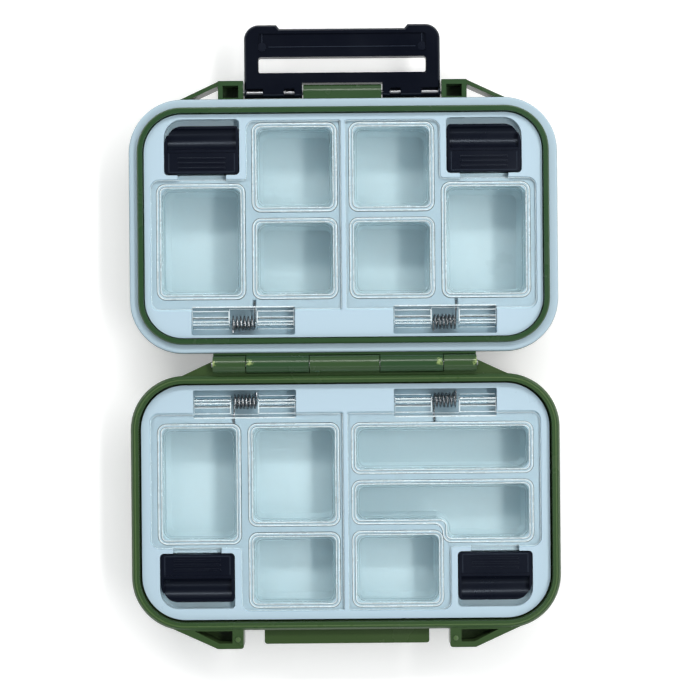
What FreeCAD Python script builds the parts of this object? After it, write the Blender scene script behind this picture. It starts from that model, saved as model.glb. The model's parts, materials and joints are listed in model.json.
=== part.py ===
"""Double-sided tackle box, opened flat: two shells, trays under sprung clear lids, and a latching handle.

Lengths are in millimetres and angles in degrees. The box lies on its two backs: the base half is centred on
the origin, the cover half lies beyond the hinge along +Y, and Z points up out of the wells.
"""

import FreeCAD, Part
import Sketcher
import math
import os

# Driving sizes, each written once
sizes = {
    # Both halves
    "box_length": 160.0,
    "box_width": 95.0,
    "half_depth": 24.0,
    "rim_corner": 20.0,
    "rim_band": 11.5,
    "rim_wall": 2.9,
    "rim_chamfer": 0.8,
    "band_chamfer": 1.2,
    "body_inset": 4.0,
    "body_draft": 3.0,
    "foot_chamfer": 2.0,
    "shell_floor": 2.0,
    "seal_gap": 0.3,
    # Ledge inside the base rim
    "ledge_depth": 10.6,
    "ledge_width": 2.8,
    # Seal and lip of the cover
    "gasket_thickness": 1.6,
    "gasket_inset": 0.2,
    "gasket_edge": 0.5,
    "lip_clearance": 0.6,
    "lip_thickness": 2.05,
    "lip_rise": 2.5,
    "lip_chamfer": 0.5,
    # Main hinge
    "hinge_gap": 4.1,
    "hinge_length": 98.0,
    "hinge_outer_knuckle": 12.3,
    "hinge_middle_knuckle": 26.2,
    "knuckle_radius": 3.15,
    "knuckle_clearance": 0.4,
    "knuckle_end_gap": 0.15,
    "hinge_web_depth": 8.0,
    "hinge_web_lip": 5.6,
    "hinge_web_drop": 0.9,
    "hinge_pin_radius": 1.0,
    "hinge_pin_proud": 0.6,
    "wing_reach": 12.5,
    "wing_overhang": 1.4,
    "wing_drop": 1.4,
    "wing_thickness": 1.6,
    # Catch on the base's front
    "catch_length": 61.7,
    "catch_depth": 5.7,
    "catch_corner": 1.0,
    "ear_inner": 38.5,
    "ear_width": 9.6,
    "ear_reach": 7.0,
    "ear_drop": 0.7,
    "ear_height": 9.3,
    "ear_floor": 1.3,
    "gusset_root": 67.8,
    "gusset_root_inset": 2.0,
    "gusset_cavity": 14.0,
    "gusset_wall": 2.1,
    "ear_cheek": 4.2,
    "ear_boss_radius": 1.0,
    "ear_boss_height": 0.5,
    # Handle that latches over the catch
    "latch_axis_out": 2.5,
    "latch_axis_drop": 4.0,
    "latch_pin_radius": 0.9,
    "handle_length": 73.2,
    "handle_reach": 25.2,
    "handle_radius": 2.1,
    "handle_corner": 5.5,
    "handle_edge": 0.7,
    "shoulder_half": 24.6,
    "shoulder_slope": 1.2,
    "shoulder_step": 1.5,
    "window_near": 7.2,
    "window_width": 5.9,
    "handle_leg": 5.3,
    "window_corner": 0.8,
    "grip_recess": 0.6,
    "grip_margin": 1.8,
    "block_half": 14.6,
    "block_radius": 3.0,
    "block_gap": 0.4,
    "pin_window_end": 0.7,
    "pin_window_outer": 29.6,
    "pin_window_middle": 21.8,
    "pin_window_inner": 17.8,
    "pin_window_half": 1.4,
    "cover_ear_width": 9.4,
    "cover_ear_reach": 6.7,
    "cover_ear_wall": 1.8,
    "cover_ear_depth": 7.8,
    "strut_run": 12.6,
    "strut_wall": 1.7,
    # Trays
    "tray_plate": 2.8,
    "tray_wall": 0.9,
    "tray_floor": 1.2,
    "base_tray_drop": 3.0,
    "base_tray_gap": 0.7,
    "cover_tray_rise": 0.4,
    "cover_tray_gap": 0.35,
    "well_corner": 4.0,
    "well_floor_bevel": 1.8,
    "centre_divider": 7.0,
    "well_divider": 4.9,
    # Wells of the base
    "base_well_reach": 69.0,
    "base_well_head": 28.2,
    "base_well_foot": 38.3,
    "base_tall_width": 28.6,
    "base_tall_length": 42.6,
    "base_mid_reach": 35.1,
    "base_mid_length": 36.0,
    "base_long_length": 16.7,
    "base_bend_length": 14.0,
    "base_step": 37.4,
    # Wells of the cover
    "cover_well_reach": 68.2,
    "cover_well_head": 26.1,
    "cover_well_foot": 36.9,
    "cover_tall_width": 30.4,
    "cover_tall_length": 40.5,
    "cover_mid_reach": 32.6,
    "cover_mid_length": 27.5,
    # Clear lids
    "lid_thickness": 1.5,
    "lid_drop": 0.1,
    "lid_gap": 0.3,
    "lid_swing_room": 0.4,
    "lid_corner": 3.6,
    "lid_inner_corner": 1.0,
    "lid_centre": 0.6,
    "base_lid_reach": 73.3,
    "base_lid_head": 33.2,
    "base_lid_foot": 41.0,
    "cover_lid_reach": 72.0,
    "cover_lid_head": 31.4,
    "cover_lid_foot": 39.3,
    "notch_rib_side": 2.2,
    "notch_rib_end": 1.5,
    "lid_rib_depth": 1.0,
    "lid_rib_width": 0.8,
    "lid_rib_clearance": 0.7,
    # Lid hinges
    "base_lid_axis": 37.6,
    "cover_lid_axis": 36.2,
    "lid_hinge_centre": 37.6,
    "lid_hinge_width": 38.6,
    "lid_hinge_gap": 0.35,
    "spring_bay": 10.0,
    "hinge_bay_inner": 6.0,
    "hinge_bay_outer": 4.4,
    "hinge_bay_corner": 0.6,
    "lid_barrel_radius": 2.3,
    "lid_pin_radius": 0.7,
    "lid_pin_seat": 1.6,
    # Lid springs
    "lid_wire": 0.7,
    "lid_coil_radius": 2.5,
    "lid_coil_pitch": 1.4,
    "lid_leg": 8.0,
    "lid_leg_gap": 0.05,
    "tray_leg": 3.4,
    "coil_room": 0.5,
    "leg_groove": 1.4,
    "leg_groove_depth": 3.6,
    # Buttons
    "button_width": 27.3,
    "button_length": 17.8,
    "button_head": 19.4,
    "base_button_outer": 69.4,
    "cover_button_outer": 66.2,
    "button_gap": 0.4,
    "button_overrun": 2.6,
    "button_proud": 0.3,
    "button_corner": 1.2,
    "button_outer_corner": 6.5,
    "button_bay_depth": 8.5,
    "button_lift": 0.3,
    "scoop_depth": 2.4,
    "scoop_half": 4.0,
    "scoop_rim": 0.9,
    "ridge_height": 0.3,
    "ridge_width": 0.9,
    "button_plate": 3.2,
    "button_ledge_depth": 3.5,
    "ledge_run": 3.0,
    "tab_width": 17.5,
    "tab_reach": 1.6,
    "tab_thickness": 1.3,
    "tab_gap": 0.3,
    # Button springs
    "button_wire": 0.5,
    "button_coil_radius": 1.75,
    "button_spring_length": 10.6,
    "button_spring_seat": 3.2,
    "button_spring_start": 3.7,
    "spring_room": 0.5,
    "spring_post": 1.6,
    "spring_end_gap": 0.1,
    # Running fit of every pin in its bores
    "pin_fit": 0.05,
    # How far a cut or a join runs past a face, and how far an outside web or ear runs into its rim
    "overrun": 0.3,
    "root_run": 0.1,
}

# Coils of each spring, the quarters that a turn is drawn in and the flats round its wire
LID_COILS = 6
BUTTON_COILS = 4
QUARTERS = 4
WIRE_FLATS = 4

# How much of a step's height each of its two bends takes, and of the handle's window the catch fills
STEP_BEND_SHARE = 0.48
CATCH_FILL_SHARE = 0.84

# How near a measured edge has to be to the place it is looked for at
TOUCH = 0.01

doc = FreeCAD.newDocument("tackle_box")
sheet = doc.addObject("Spreadsheet::Sheet", "Sizes")


class Size:
    """A length with the spreadsheet expression that it is worked out by."""

    def __init__(self, value, text):
        self.value = float(value)
        self.text = text

    def __add__(self, other):
        return joined(self, "+", other, self.value + plain(other))

    def __sub__(self, other):
        return joined(self, "-", other, self.value - plain(other))

    def __mul__(self, other):
        return joined(self, "*", other, self.value * plain(other))

    def __truediv__(self, other):
        return joined(self, "/", other, self.value / plain(other))

    def __neg__(self):
        return self * -1

    __rmul__ = __mul__


def plain(value):
    """The number in a size, or a plain number as it is."""
    return value.value if isinstance(value, Size) else float(value)


def words(value):
    """The expression of a size, or a plain number's text."""
    return value.text if isinstance(value, Size) else repr(float(value))


def joined(left, sign, right, value):
    """A new size made of two, by the sign between them."""
    return Size(value, f"({words(left)} {sign} {words(right)})")


ZERO = Size(0, "0")


def fill_sheet():
    """Writes each driving size into its own cell, and returns them by name."""
    held = {}
    for row, (name, value) in enumerate(sizes.items(), start=1):
        sheet.set(f"A{row}", name)
        sheet.set(f"B{row}", str(value))
        sheet.setAlias(f"B{row}", name)
        held[name] = Size(value, f"Sizes.{name}")
    doc.recompute()
    return held


class Named:
    """The driving sizes as attributes."""

    def __init__(self, held):
        self.__dict__.update(held)


s = Named(fill_sheet())

# Planes and places that several pieces share
HALF_LENGTH = s.box_length / 2
HALF_WIDTH = s.box_width / 2
HINGE_Y = HALF_WIDTH + s.hinge_gap
COVER_Y = HINGE_Y * 2
RIM_TOP = s.half_depth - s.seal_gap / 2
GASKET_SEAT = RIM_TOP - s.gasket_thickness
LIP_TOP = s.half_depth + s.lip_rise
BAND_LOW = s.half_depth - s.rim_band
LIP_OUT = s.rim_wall + s.lip_clearance
LIP_IN = LIP_OUT + s.lip_thickness
LATCH_Y = HALF_WIDTH + s.latch_axis_out
LATCH_Z = s.half_depth - s.latch_axis_drop
BASE_TRAY_TOP = s.half_depth - s.base_tray_drop
COVER_TRAY_TOP = s.half_depth + s.cover_tray_rise
LID_AXIS_DEPTH = s.lid_drop + s.lid_barrel_radius
LID_TOP = -s.lid_drop
LID_LOW = LID_TOP - s.lid_thickness
BAY_DEPTH = LID_AXIS_DEPTH + s.lid_coil_radius + s.lid_wire / 2 + s.coil_room


class Half:
    """What differs between the base tray with its lids and the cover tray with its lids."""

    def __init__(self, name, hinge_side, centre_y, tray_top, margin):
        self.name = name
        self.hinge_side = hinge_side
        self.centre_y = centre_y
        self.tray_top = tray_top
        self.margin = margin
        self.lid_reach = getattr(s, name + "_lid_reach")
        self.lid_head = getattr(s, name + "_lid_head")
        self.lid_foot = getattr(s, name + "_lid_foot")
        self.axis = getattr(s, name + "_lid_axis")
        self.button_outer = getattr(s, name + "_button_outer")
        self.depth = tray_top - s.shell_floor - s.tray_floor


BASE = Half("base", 1, ZERO, BASE_TRAY_TOP, s.rim_wall + s.base_tray_gap)
COVER = Half("cover", -1, COVER_Y, COVER_TRAY_TOP, LIP_IN + s.cover_tray_gap)


# Outlines, each a list of (x, y, corner radius) in counterclockwise order


def rectangle(left, right, low, high, radius=ZERO):
    """An upright rectangle, its sides given in either order."""
    left, right = sorted((left, right), key=plain)
    low, high = sorted((low, high), key=plain)
    return [(left, low, radius), (right, low, radius), (right, high, radius), (left, high, radius)]


def centred(half_length, half_width, radius):
    """A rectangle round the origin."""
    return rectangle(-half_length, half_length, -half_width, half_width, radius)


def rim_outline(inset):
    """The outline of the box, drawn in by an inset."""
    return centred(HALF_LENGTH - inset, HALF_WIDTH - inset, s.rim_corner - inset)


def placed(corners, side, hinge_side=1):
    """An outline drawn for the right side of the base, on the wanted side of the wanted half."""
    moved = [(x * side, y * hinge_side, radius) for x, y, radius in corners]
    return moved if side * hinge_side > 0 else moved[::-1]


def grown(corners, by):
    """An upright outline with every side moved out by a length."""
    result = []
    for number, (x, y, radius) in enumerate(corners):
        before = corners[number - 1]
        after = corners[(number + 1) % len(corners)]
        into = heading(before, corners[number])
        out = heading(corners[number], after)
        convex = into[0] * out[1] - into[1] * out[0] > 0
        rounder = radius + by if convex else radius - by
        if plain(radius) == 0:
            rounder = radius
        result.append((x + by * (into[1] + out[1]), y - by * (into[0] + out[0]), rounder))
    return result


def heading(start, end):
    """The direction between two corners, as whole steps along X and Y."""
    run = plain(end[0]) - plain(start[0])
    rise = plain(end[1]) - plain(start[1])
    length = math.hypot(run, rise)
    return round(run / length), round(rise / length)


# Sketches and features, bound to the sheet


def constrain(sketch, fixed, dimensions):
    """Adds a sketch's constraints, and binds each dimension to its expression."""
    sketch.addConstraint(fixed)
    made = [Sketcher.Constraint(kind, *places, plain(size)) for kind, places, size in dimensions]
    for number, (_, _, size) in zip(sketch.addConstraint(made), dimensions):
        sketch.setExpression(f"Constraints[{number}]", words(size))


def from_origin(shape, end, x, y):
    """The two dimensions that place a point of a sketch."""
    return [("DistanceX", (-1, 1, shape, end), x), ("DistanceY", (-1, 1, shape, end), y)]


def bend_at(before, corner, after, radius):
    """The ends and the arc of a round corner, and whether the outline turns left there."""
    back = (before - corner).normalize()
    ahead = (after - corner).normalize()
    half = back.getAngle(ahead) / 2
    middle = corner + (back + ahead).normalize() * (radius / math.sin(half))
    entry = corner + back * (radius / math.tan(half))
    leave = corner + ahead * (radius / math.tan(half))
    left_turn = back.cross(ahead).z < 0
    first, last = (entry, leave) if left_turn else (leave, entry)
    start = math.atan2(first.y - middle.y, first.x - middle.x)
    stop = math.atan2(last.y - middle.y, last.x - middle.x)
    circle = Part.Circle(middle, FreeCAD.Vector(0, 0, 1), radius)
    return entry, leave, Part.ArcOfCircle(circle, start, stop), left_turn


def draw_outline(sketch, corners):
    """Draws a closed outline with round or sharp corners, each of them dimensioned."""
    points = [FreeCAD.Vector(plain(x), plain(y), 0) for x, y, _ in corners]
    count = len(points)
    bends = []
    for number, (_, _, radius) in enumerate(corners):
        corner, after = points[number], points[(number + 1) % count]
        if plain(radius) == 0:
            bends.append((corner, corner, None, True))
        else:
            bends.append(bend_at(points[number - 1], corner, after, plain(radius)))
    lines = []
    for number in range(count):
        line = Part.LineSegment(bends[number][1], bends[(number + 1) % count][0])
        lines.append(sketch.addGeometry(line))
    fixed, dimensions = [], []
    for number, (x, y, radius) in enumerate(corners):
        before, after = lines[number - 1], lines[number]
        _, _, curve, left_turn = bends[number]
        if curve is None:
            fixed.append(Sketcher.Constraint("Coincident", before, 2, after, 1))
            dimensions += from_origin(after, 1, x, y)
            continue
        arc = sketch.addGeometry(curve)
        vertex = sketch.addGeometry(Part.Point(points[number]), True)
        entry_end, leave_end = (1, 2) if left_turn else (2, 1)
        fixed.append(Sketcher.Constraint("Tangent", before, 2, arc, entry_end))
        fixed.append(Sketcher.Constraint("Tangent", after, 1, arc, leave_end))
        fixed.append(Sketcher.Constraint("PointOnObject", vertex, 1, before))
        fixed.append(Sketcher.Constraint("PointOnObject", vertex, 1, after))
        dimensions.append(("Radius", (arc,), radius))
        dimensions += from_origin(vertex, 1, x, y)
    constrain(sketch, fixed, dimensions)


def draw_circle(sketch, x, y, radius):
    """Draws a dimensioned circle."""
    centre = FreeCAD.Vector(plain(x), plain(y), 0)
    circle = Part.Circle(centre, FreeCAD.Vector(0, 0, 1), plain(radius))
    number = sketch.addGeometry(circle)
    constrain(sketch, [], [("Radius", (number,), radius)] + from_origin(number, 3, x, y))


class Piece:
    """One sub-part, built as a body of sketches and features."""

    def __init__(self, name, y=ZERO, z=ZERO):
        self.name = name
        self.body = doc.addObject("PartDesign::Body", name)
        self.body.Label = name
        self.body.setExpression("Placement.Base.y", words(y))
        self.body.setExpression("Placement.Base.z", words(z))
        self.cuts = []

    def feature(self, kind, role, offset, length, outlines, circles):
        """A pad or pocket of a new sketch, on an origin plane moved along its normal."""
        sketch = self.body.newObject("Sketcher::SketchObject", self.name + "_sketch")
        planes = self.body.Origin.OriginFeatures
        sketch.AttachmentSupport = (next(p for p in planes if p.Role == role), [""])
        sketch.MapMode = "FlatFace"
        sketch.setExpression("AttachmentOffset.Base.z", words(offset))
        for corners in outlines:
            draw_outline(sketch, corners)
        for x, y, radius in circles:
            draw_circle(sketch, x, y, radius)
        made = self.body.newObject(kind, self.name + "_feature")
        made.Profile = sketch
        made.setExpression("Length", words(length))
        made.Refine = kind.endswith("Pad")
        if kind.endswith("Pocket"):
            self.cuts.append(made)
        return made

    def layer(self, low, high, *outlines, circles=()):
        """Adds upright blocks or discs between two heights."""
        for corners in outlines:
            self.feature("PartDesign::Pad", "XY_Plane", low, high - low, [corners], [])
        for circle in circles:
            self.feature("PartDesign::Pad", "XY_Plane", low, high - low, [], [circle])

    def ring(self, low, high, outer, inner):
        """Adds an upright ring between two heights."""
        self.feature("PartDesign::Pad", "XY_Plane", low, high - low, [outer, inner], [])

    def sink(self, high, depth, *outlines):
        """Cuts upright outlines down from a height."""
        for corners in outlines:
            self.feature("PartDesign::Pocket", "XY_Plane", high, depth, [corners], [])

    def bar(self, start, stop, outline=None, circle=None):
        """Adds a bar along X, its section drawn in Y and Z."""
        start, stop = sorted((start, stop), key=plain)
        outlines = [outline] if outline else []
        circles = [circle] if circle else []
        self.feature("PartDesign::Pad", "YZ_Plane", start, stop - start, outlines, circles)

    def bore(self, start, stop, y, z, radius):
        """Cuts a round hole along X."""
        start, stop = sorted((start, stop), key=plain)
        circle = [(y, z, radius)]
        self.feature("PartDesign::Pocket", "YZ_Plane", stop, stop - start, [], circle)

    def chamfer(self, size, wanted):
        """Chamfers the edges that a test picks."""
        doc.recompute()
        base = self.body.Tip
        names = [
            f"Edge{number}"
            for number, edge in enumerate(base.Shape.Edges, start=1)
            if wanted(edge)
        ]
        made = self.body.newObject("PartDesign::Chamfer", self.name + "_edges")
        made.Base = (base, names)
        made.setExpression("Size", words(size))


def at_height(edge, z):
    """Does an edge lie in the level plane at z?"""
    box = edge.BoundBox
    return abs(box.ZMin - plain(z)) < TOUCH and abs(box.ZMax - plain(z)) < TOUCH


def on_outline(edge, inset):
    """Does an edge follow the outline of the box, drawn in by an inset?"""
    half_length = plain(HALF_LENGTH - inset)
    half_width = plain(HALF_WIDTH - inset)
    radius = plain(s.rim_corner - inset)
    for point in (edge.Vertexes[0].Point, edge.Vertexes[-1].Point, edge.discretize(3)[1]):
        over_x = max(abs(point.x) - (half_length - radius), 0)
        over_y = max(abs(point.y) - (half_width - radius), 0)
        if over_x and over_y:
            miss = math.hypot(over_x, over_y) - radius
        else:
            miss = max(abs(point.x) - half_length, abs(point.y) - half_width)
        if abs(miss) > TOUCH:
            return False
    return True


# Shells


def add_tub(piece, top):
    """The drafted body and the rim band that both shells share, with their edges eased."""
    piece.layer(ZERO, BAND_LOW + s.overrun, rim_outline(s.body_inset))
    piece.body.Tip.setExpression("TaperAngle", words(s.body_draft))
    piece.chamfer(s.foot_chamfer, lambda edge: at_height(edge, ZERO))
    piece.layer(BAND_LOW, top, rim_outline(ZERO))
    piece.chamfer(s.band_chamfer, lambda edge: at_height(edge, BAND_LOW) and on_outline(edge, ZERO))


def add_knuckles(piece, y, inward, own, mating):
    """A hinge web from the rim, its barrels, the cradles for the mating barrels and the bore."""
    half = s.hinge_length / 2
    root = y + (s.hinge_gap + s.root_run) * inward
    front = y + s.knuckle_end_gap * inward
    low = s.half_depth - s.hinge_web_depth
    web = [
        (root, low, ZERO),
        (front, s.half_depth - s.hinge_web_lip, ZERO),
        (front, s.half_depth - s.hinge_web_drop, ZERO),
        (root, s.half_depth - s.hinge_web_drop, ZERO),
    ]
    piece.bar(-half, half, outline=web if inward < 0 else web[::-1])
    for start, stop in own:
        piece.bar(start, stop, circle=(y, s.half_depth, s.knuckle_radius))
    cradle = s.knuckle_radius + s.knuckle_clearance
    for start, stop in mating:
        piece.bore(start, stop, y, s.half_depth, cradle)
    past = half + s.overrun
    piece.bore(-past, past, y, s.half_depth, s.hinge_pin_radius + s.pin_fit)


def knuckle_ranges(end_gap):
    """Where the base's three barrels and the cover's two lie along X, drawn in by a gap at each end."""
    half = s.hinge_length / 2
    inner = half - s.hinge_outer_knuckle
    middle = s.hinge_middle_knuckle / 2
    base = [
        (-half, -inner - end_gap),
        (-middle + end_gap, middle - end_gap),
        (inner + end_gap, half),
    ]
    cover = [
        (-inner + end_gap, -middle - end_gap),
        (middle + end_gap, inner - end_gap),
    ]
    return base, cover


def make_base_shell():
    """Tub with a rim for the lip to enter, catch shelf, ears, hinge barrels and wings."""
    piece = Piece("base_shell")
    add_tub(piece, RIM_TOP)
    piece.chamfer(s.rim_chamfer, lambda edge: at_height(edge, RIM_TOP) and on_outline(edge, ZERO))
    add_catch(piece)
    add_wings(piece)
    base, _ = knuckle_ranges(s.knuckle_end_gap)
    _, cover = knuckle_ranges(-s.knuckle_end_gap)
    add_knuckles(piece, HINGE_Y, -1, base, cover)
    piece.sink(RIM_TOP, s.ledge_depth - s.seal_gap / 2, rim_outline(s.rim_wall))
    piece.sink(RIM_TOP, RIM_TOP - s.shell_floor, rim_outline(s.rim_wall + s.ledge_width))
    return piece


def add_catch(piece):
    """The shelf that the handle closes over, and the two hollow ears beside it."""
    low = s.half_depth + s.latch_axis_drop - s.window_near - s.window_width
    gap = (s.window_width - s.window_width * CATCH_FILL_SHARE) / 2
    half = s.catch_length / 2
    front = HALF_WIDTH + s.catch_depth
    shelf = [
        (-half, -front, s.catch_corner),
        (half, -front, s.catch_corner),
        (half, s.overrun - HALF_WIDTH, ZERO),
        (-half, s.overrun - HALF_WIDTH, ZERO),
    ]
    piece.layer(low + gap, low + s.window_width - gap, shelf)
    outer = s.ear_inner + s.ear_width
    tip = HALF_WIDTH + s.ear_reach
    top = s.half_depth - s.ear_drop
    root_y = HALF_WIDTH - s.gusset_root_inset
    ear = [
        (s.ear_inner, -tip, s.catch_corner),
        (outer, -tip, s.catch_corner),
        (s.gusset_root, -root_y, ZERO),
        (s.ear_inner, -root_y, ZERO),
    ]
    far = tip - s.gusset_wall
    near = HALF_WIDTH + s.overrun
    cheek = s.ear_inner + s.ear_cheek
    cavity = [
        (cheek, -far, ZERO),
        (outer - s.ear_boss_height, -far, ZERO),
        (cheek + s.gusset_cavity, -near, ZERO),
        (cheek, -near, ZERO),
    ]
    boss_x = s.ear_inner + s.ear_cheek / 2
    boss_y = -HALF_WIDTH - s.ear_reach / 2
    for side in (1, -1):
        piece.layer(top - s.ear_height, top, placed(ear, side))
        piece.sink(top, s.ear_height - s.ear_floor, placed(cavity, side))
        boss = (boss_x * side, boss_y, s.ear_boss_radius)
        piece.layer(top - s.overrun, top + s.ear_boss_height, circles=[boss])


def add_wings(piece):
    """Flat wings from the rim to the ends of the hinge."""
    half = s.hinge_length / 2
    top = s.half_depth - s.wing_drop
    wing = [
        (half - s.hinge_outer_knuckle, HALF_WIDTH - s.overrun, ZERO),
        (half + s.wing_reach, HALF_WIDTH - s.overrun, ZERO),
        (half, HINGE_Y + s.wing_overhang, ZERO),
        (half - s.hinge_outer_knuckle + s.knuckle_clearance, HINGE_Y + s.wing_overhang, ZERO),
    ]
    piece.layer(top - s.wing_thickness, top, placed(wing, 1), placed(wing, -1))


def make_cover_shell():
    """Tub with a seal seat, lip, handle block, pin ears with struts, and hinge barrels."""
    piece = Piece("cover_shell", y=COVER_Y)
    add_tub(piece, GASKET_SEAT)
    piece.layer(GASKET_SEAT - s.overrun, LIP_TOP, rim_outline(LIP_OUT))
    piece.chamfer(s.lip_chamfer, lambda edge: at_height(edge, LIP_TOP))
    add_handle_mount(piece)
    _, cover = knuckle_ranges(s.knuckle_end_gap)
    base, _ = knuckle_ranges(-s.knuckle_end_gap)
    add_knuckles(piece, -HINGE_Y, 1, cover, base)
    piece.sink(LIP_TOP, LIP_TOP - s.shell_floor, rim_outline(LIP_IN))
    return piece


def add_handle_mount(piece):
    """The middle block and the two ears that hold the handle's pin."""
    root = HALF_WIDTH - s.root_run
    block = rectangle(root, LATCH_Y, LATCH_Z - s.block_radius, LATCH_Z + s.block_radius)
    piece.bar(-s.block_half, s.block_half, outline=block)
    piece.bar(-s.block_half, s.block_half, circle=(LATCH_Y, LATCH_Z, s.block_radius))
    inner = s.handle_length / 2 + s.block_gap
    outer = inner + s.cover_ear_width
    tip = HALF_WIDTH + s.cover_ear_reach
    top = s.half_depth - s.ear_drop
    wall = s.cover_ear_wall
    ear = rectangle(inner, outer, root, tip)
    strut = [
        (outer - s.overrun, tip - s.strut_wall, ZERO),
        (outer + s.strut_run - s.strut_wall, root, ZERO),
        (outer + s.strut_run + s.strut_wall, root, ZERO),
        (outer - s.overrun, tip, ZERO),
    ]
    hollow = rectangle(inner + wall, outer - wall, HALF_WIDTH + s.overrun, tip - wall)
    for side in (1, -1):
        piece.layer(top - s.ear_height, top, placed(ear, side))
        piece.layer(top - s.ear_height, top - s.ear_drop, placed(strut, side))
        piece.sink(top, s.cover_ear_depth, placed(hollow, side))
    past = inner + wall + s.overrun
    piece.bore(-past, past, LATCH_Y, LATCH_Z, s.latch_pin_radius + s.pin_fit)


def make_gasket():
    """Flat seal ring that lies on the cover's seat, round the lip."""
    piece = Piece("cover_gasket", y=COVER_Y)
    outer = s.gasket_inset
    piece.ring(GASKET_SEAT, RIM_TOP, rim_outline(outer), rim_outline(LIP_OUT))
    piece.chamfer(s.gasket_edge, lambda edge: at_height(edge, RIM_TOP) and on_outline(edge, outer))
    return piece


# Handle


def make_handle():
    """Flat handle with a window that closes over the catch, on two barrels round its pin."""
    piece = Piece("carry_handle", y=COVER_Y)
    half = s.handle_length / 2
    notch = s.block_half + s.block_gap
    tip = LATCH_Y + s.handle_reach
    step = tip - s.shoulder_step
    low = LATCH_Z - s.handle_radius
    high = LATCH_Z + s.handle_radius
    outline = [
        (-half, LATCH_Y, ZERO),
        (-notch, LATCH_Y, ZERO),
        (-notch, LATCH_Y + s.block_radius + s.block_gap, ZERO),
        (notch, LATCH_Y + s.block_radius + s.block_gap, ZERO),
        (notch, LATCH_Y, ZERO),
        (half, LATCH_Y, ZERO),
        (half, tip, s.handle_corner),
        (s.shoulder_half, tip, ZERO),
        (s.shoulder_half - s.shoulder_slope, step, ZERO),
        (s.shoulder_slope - s.shoulder_half, step, ZERO),
        (-s.shoulder_half, tip, ZERO),
        (-half, tip, s.handle_corner),
    ]
    piece.layer(low, high, outline)
    piece.chamfer(
        s.handle_edge,
        lambda edge: (at_height(edge, low) or at_height(edge, high))
        and edge.BoundBox.YMax > plain(step - s.overrun),
    )
    for side in (1, -1):
        piece.bar(notch * side, half * side, circle=(LATCH_Y, LATCH_Z, s.handle_radius))
    near = LATCH_Y + s.window_near
    far = near + s.window_width
    leg = half - s.handle_leg
    window = rectangle(-leg, leg, near, far, s.window_corner)
    piece.sink(high + s.overrun, s.handle_radius * 2 + s.overrun * 2, window)
    reach = s.pin_window_half
    pin_windows = [
        (half - s.pin_window_end, s.pin_window_outer),
        (s.pin_window_middle, s.pin_window_inner),
    ]
    grip = rectangle(-leg, leg, far + s.grip_margin, step - s.grip_margin, s.window_corner)
    piece.sink(high, s.grip_recess, grip)
    past = half + s.overrun
    piece.bore(-past, past, LATCH_Y, LATCH_Z, s.latch_pin_radius + s.pin_fit)
    for side in (1, -1):
        for start, stop in pin_windows:
            slot = rectangle(start * side, stop * side, LATCH_Y - reach, LATCH_Y + reach)
            piece.sink(high + s.overrun, s.handle_radius + s.overrun, slot)
    return piece


# Trays


def base_wells():
    """The six wells of the base, as outlines."""
    corner = s.well_corner
    start = s.centre_divider / 2
    reach = s.base_well_reach
    head = s.base_well_head
    foot = -s.base_well_foot
    mid_low = head - s.base_mid_length
    long_low = head - s.base_long_length
    bend_high = long_low - s.well_divider
    bend_low = bend_high - s.base_bend_length
    tall_low = head - s.base_tall_length
    bend = (bend_low - tall_low) * STEP_BEND_SHARE
    small_high = bend_low - s.well_divider
    return [
        rectangle(-reach, s.base_tall_width - reach, tall_low, head, corner),
        rectangle(-s.base_mid_reach, -start, mid_low, head, corner),
        rectangle(-s.base_mid_reach, -start, foot, mid_low - s.well_divider, corner),
        rectangle(start, reach, long_low, head, corner),
        [
            (start, bend_low, corner),
            (s.base_step, bend_low, bend),
            (s.base_step, tall_low, bend),
            (reach, tall_low, corner),
            (reach, bend_high, corner),
            (start, bend_high, corner),
        ],
        rectangle(start, s.base_mid_reach, foot, small_high, corner),
    ]


def cover_wells():
    """The six wells of the cover, as outlines."""
    corner = s.well_corner
    start = s.centre_divider / 2
    reach = s.cover_well_reach
    head = -s.cover_well_head
    foot = s.cover_well_foot
    mid_high = head + s.cover_mid_length
    wells = []
    for side in (-1, 1):
        inner = reach - s.cover_tall_width
        tall_high = head + s.cover_tall_length
        wells.append(rectangle(reach * side, inner * side, head, tall_high, corner))
        mid_reach = s.cover_mid_reach * side
        wells.append(rectangle(start * side, mid_reach, head, mid_high, corner))
        wells.append(rectangle(start * side, mid_reach, mid_high + s.well_divider, foot, corner))
    return wells


def lid_outline(half, side, room=ZERO):
    """The outline of the recess that one lid lies in, with room for its edge to swing by the hinge."""
    inner = half.button_outer - s.button_width - s.button_gap - s.notch_rib_side
    end = s.button_head - s.button_gap - s.notch_rib_end
    corner = s.lid_corner
    tight = s.lid_inner_corner
    corners = [
        (s.lid_centre, -half.lid_foot, tight),
        (inner, -half.lid_foot, corner),
        (inner, -end, tight),
        (half.lid_reach, -end, corner),
        (half.lid_reach, half.lid_head + room, corner),
        (s.lid_centre, half.lid_head + room, tight),
    ]
    return placed(corners, side, half.hinge_side)


def button_outline(half, side, shift=ZERO):
    """The outline of a button, its outer end moved out by a shift, its large corner towards the box's."""
    outer = half.button_outer
    inner = outer - s.button_width
    tip = s.button_head + s.button_length
    corner = s.button_corner
    corners = [
        (inner, -tip - shift, corner),
        (outer, -tip - shift, s.button_outer_corner),
        (outer, -s.button_head, corner),
        (inner, -s.button_head, corner),
    ]
    return placed(corners, side, half.hinge_side)


def button_bay(half, side, shift=ZERO):
    """The outline of the bay that a button slides in."""
    travel = s.button_overrun - s.button_gap
    return grown(button_outline(half, side, travel + shift), s.button_gap)


def hinge_bay(half, side):
    """The outline of the bay round a lid's hinge."""
    reach = s.lid_hinge_width / 2
    inner = half.axis - s.hinge_bay_inner
    outer = half.axis + s.hinge_bay_outer
    start = s.lid_hinge_centre - reach
    stop = s.lid_hinge_centre + reach
    corners = rectangle(start, stop, inner, outer, s.hinge_bay_corner)
    return placed(corners, side, half.hinge_side)


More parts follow.
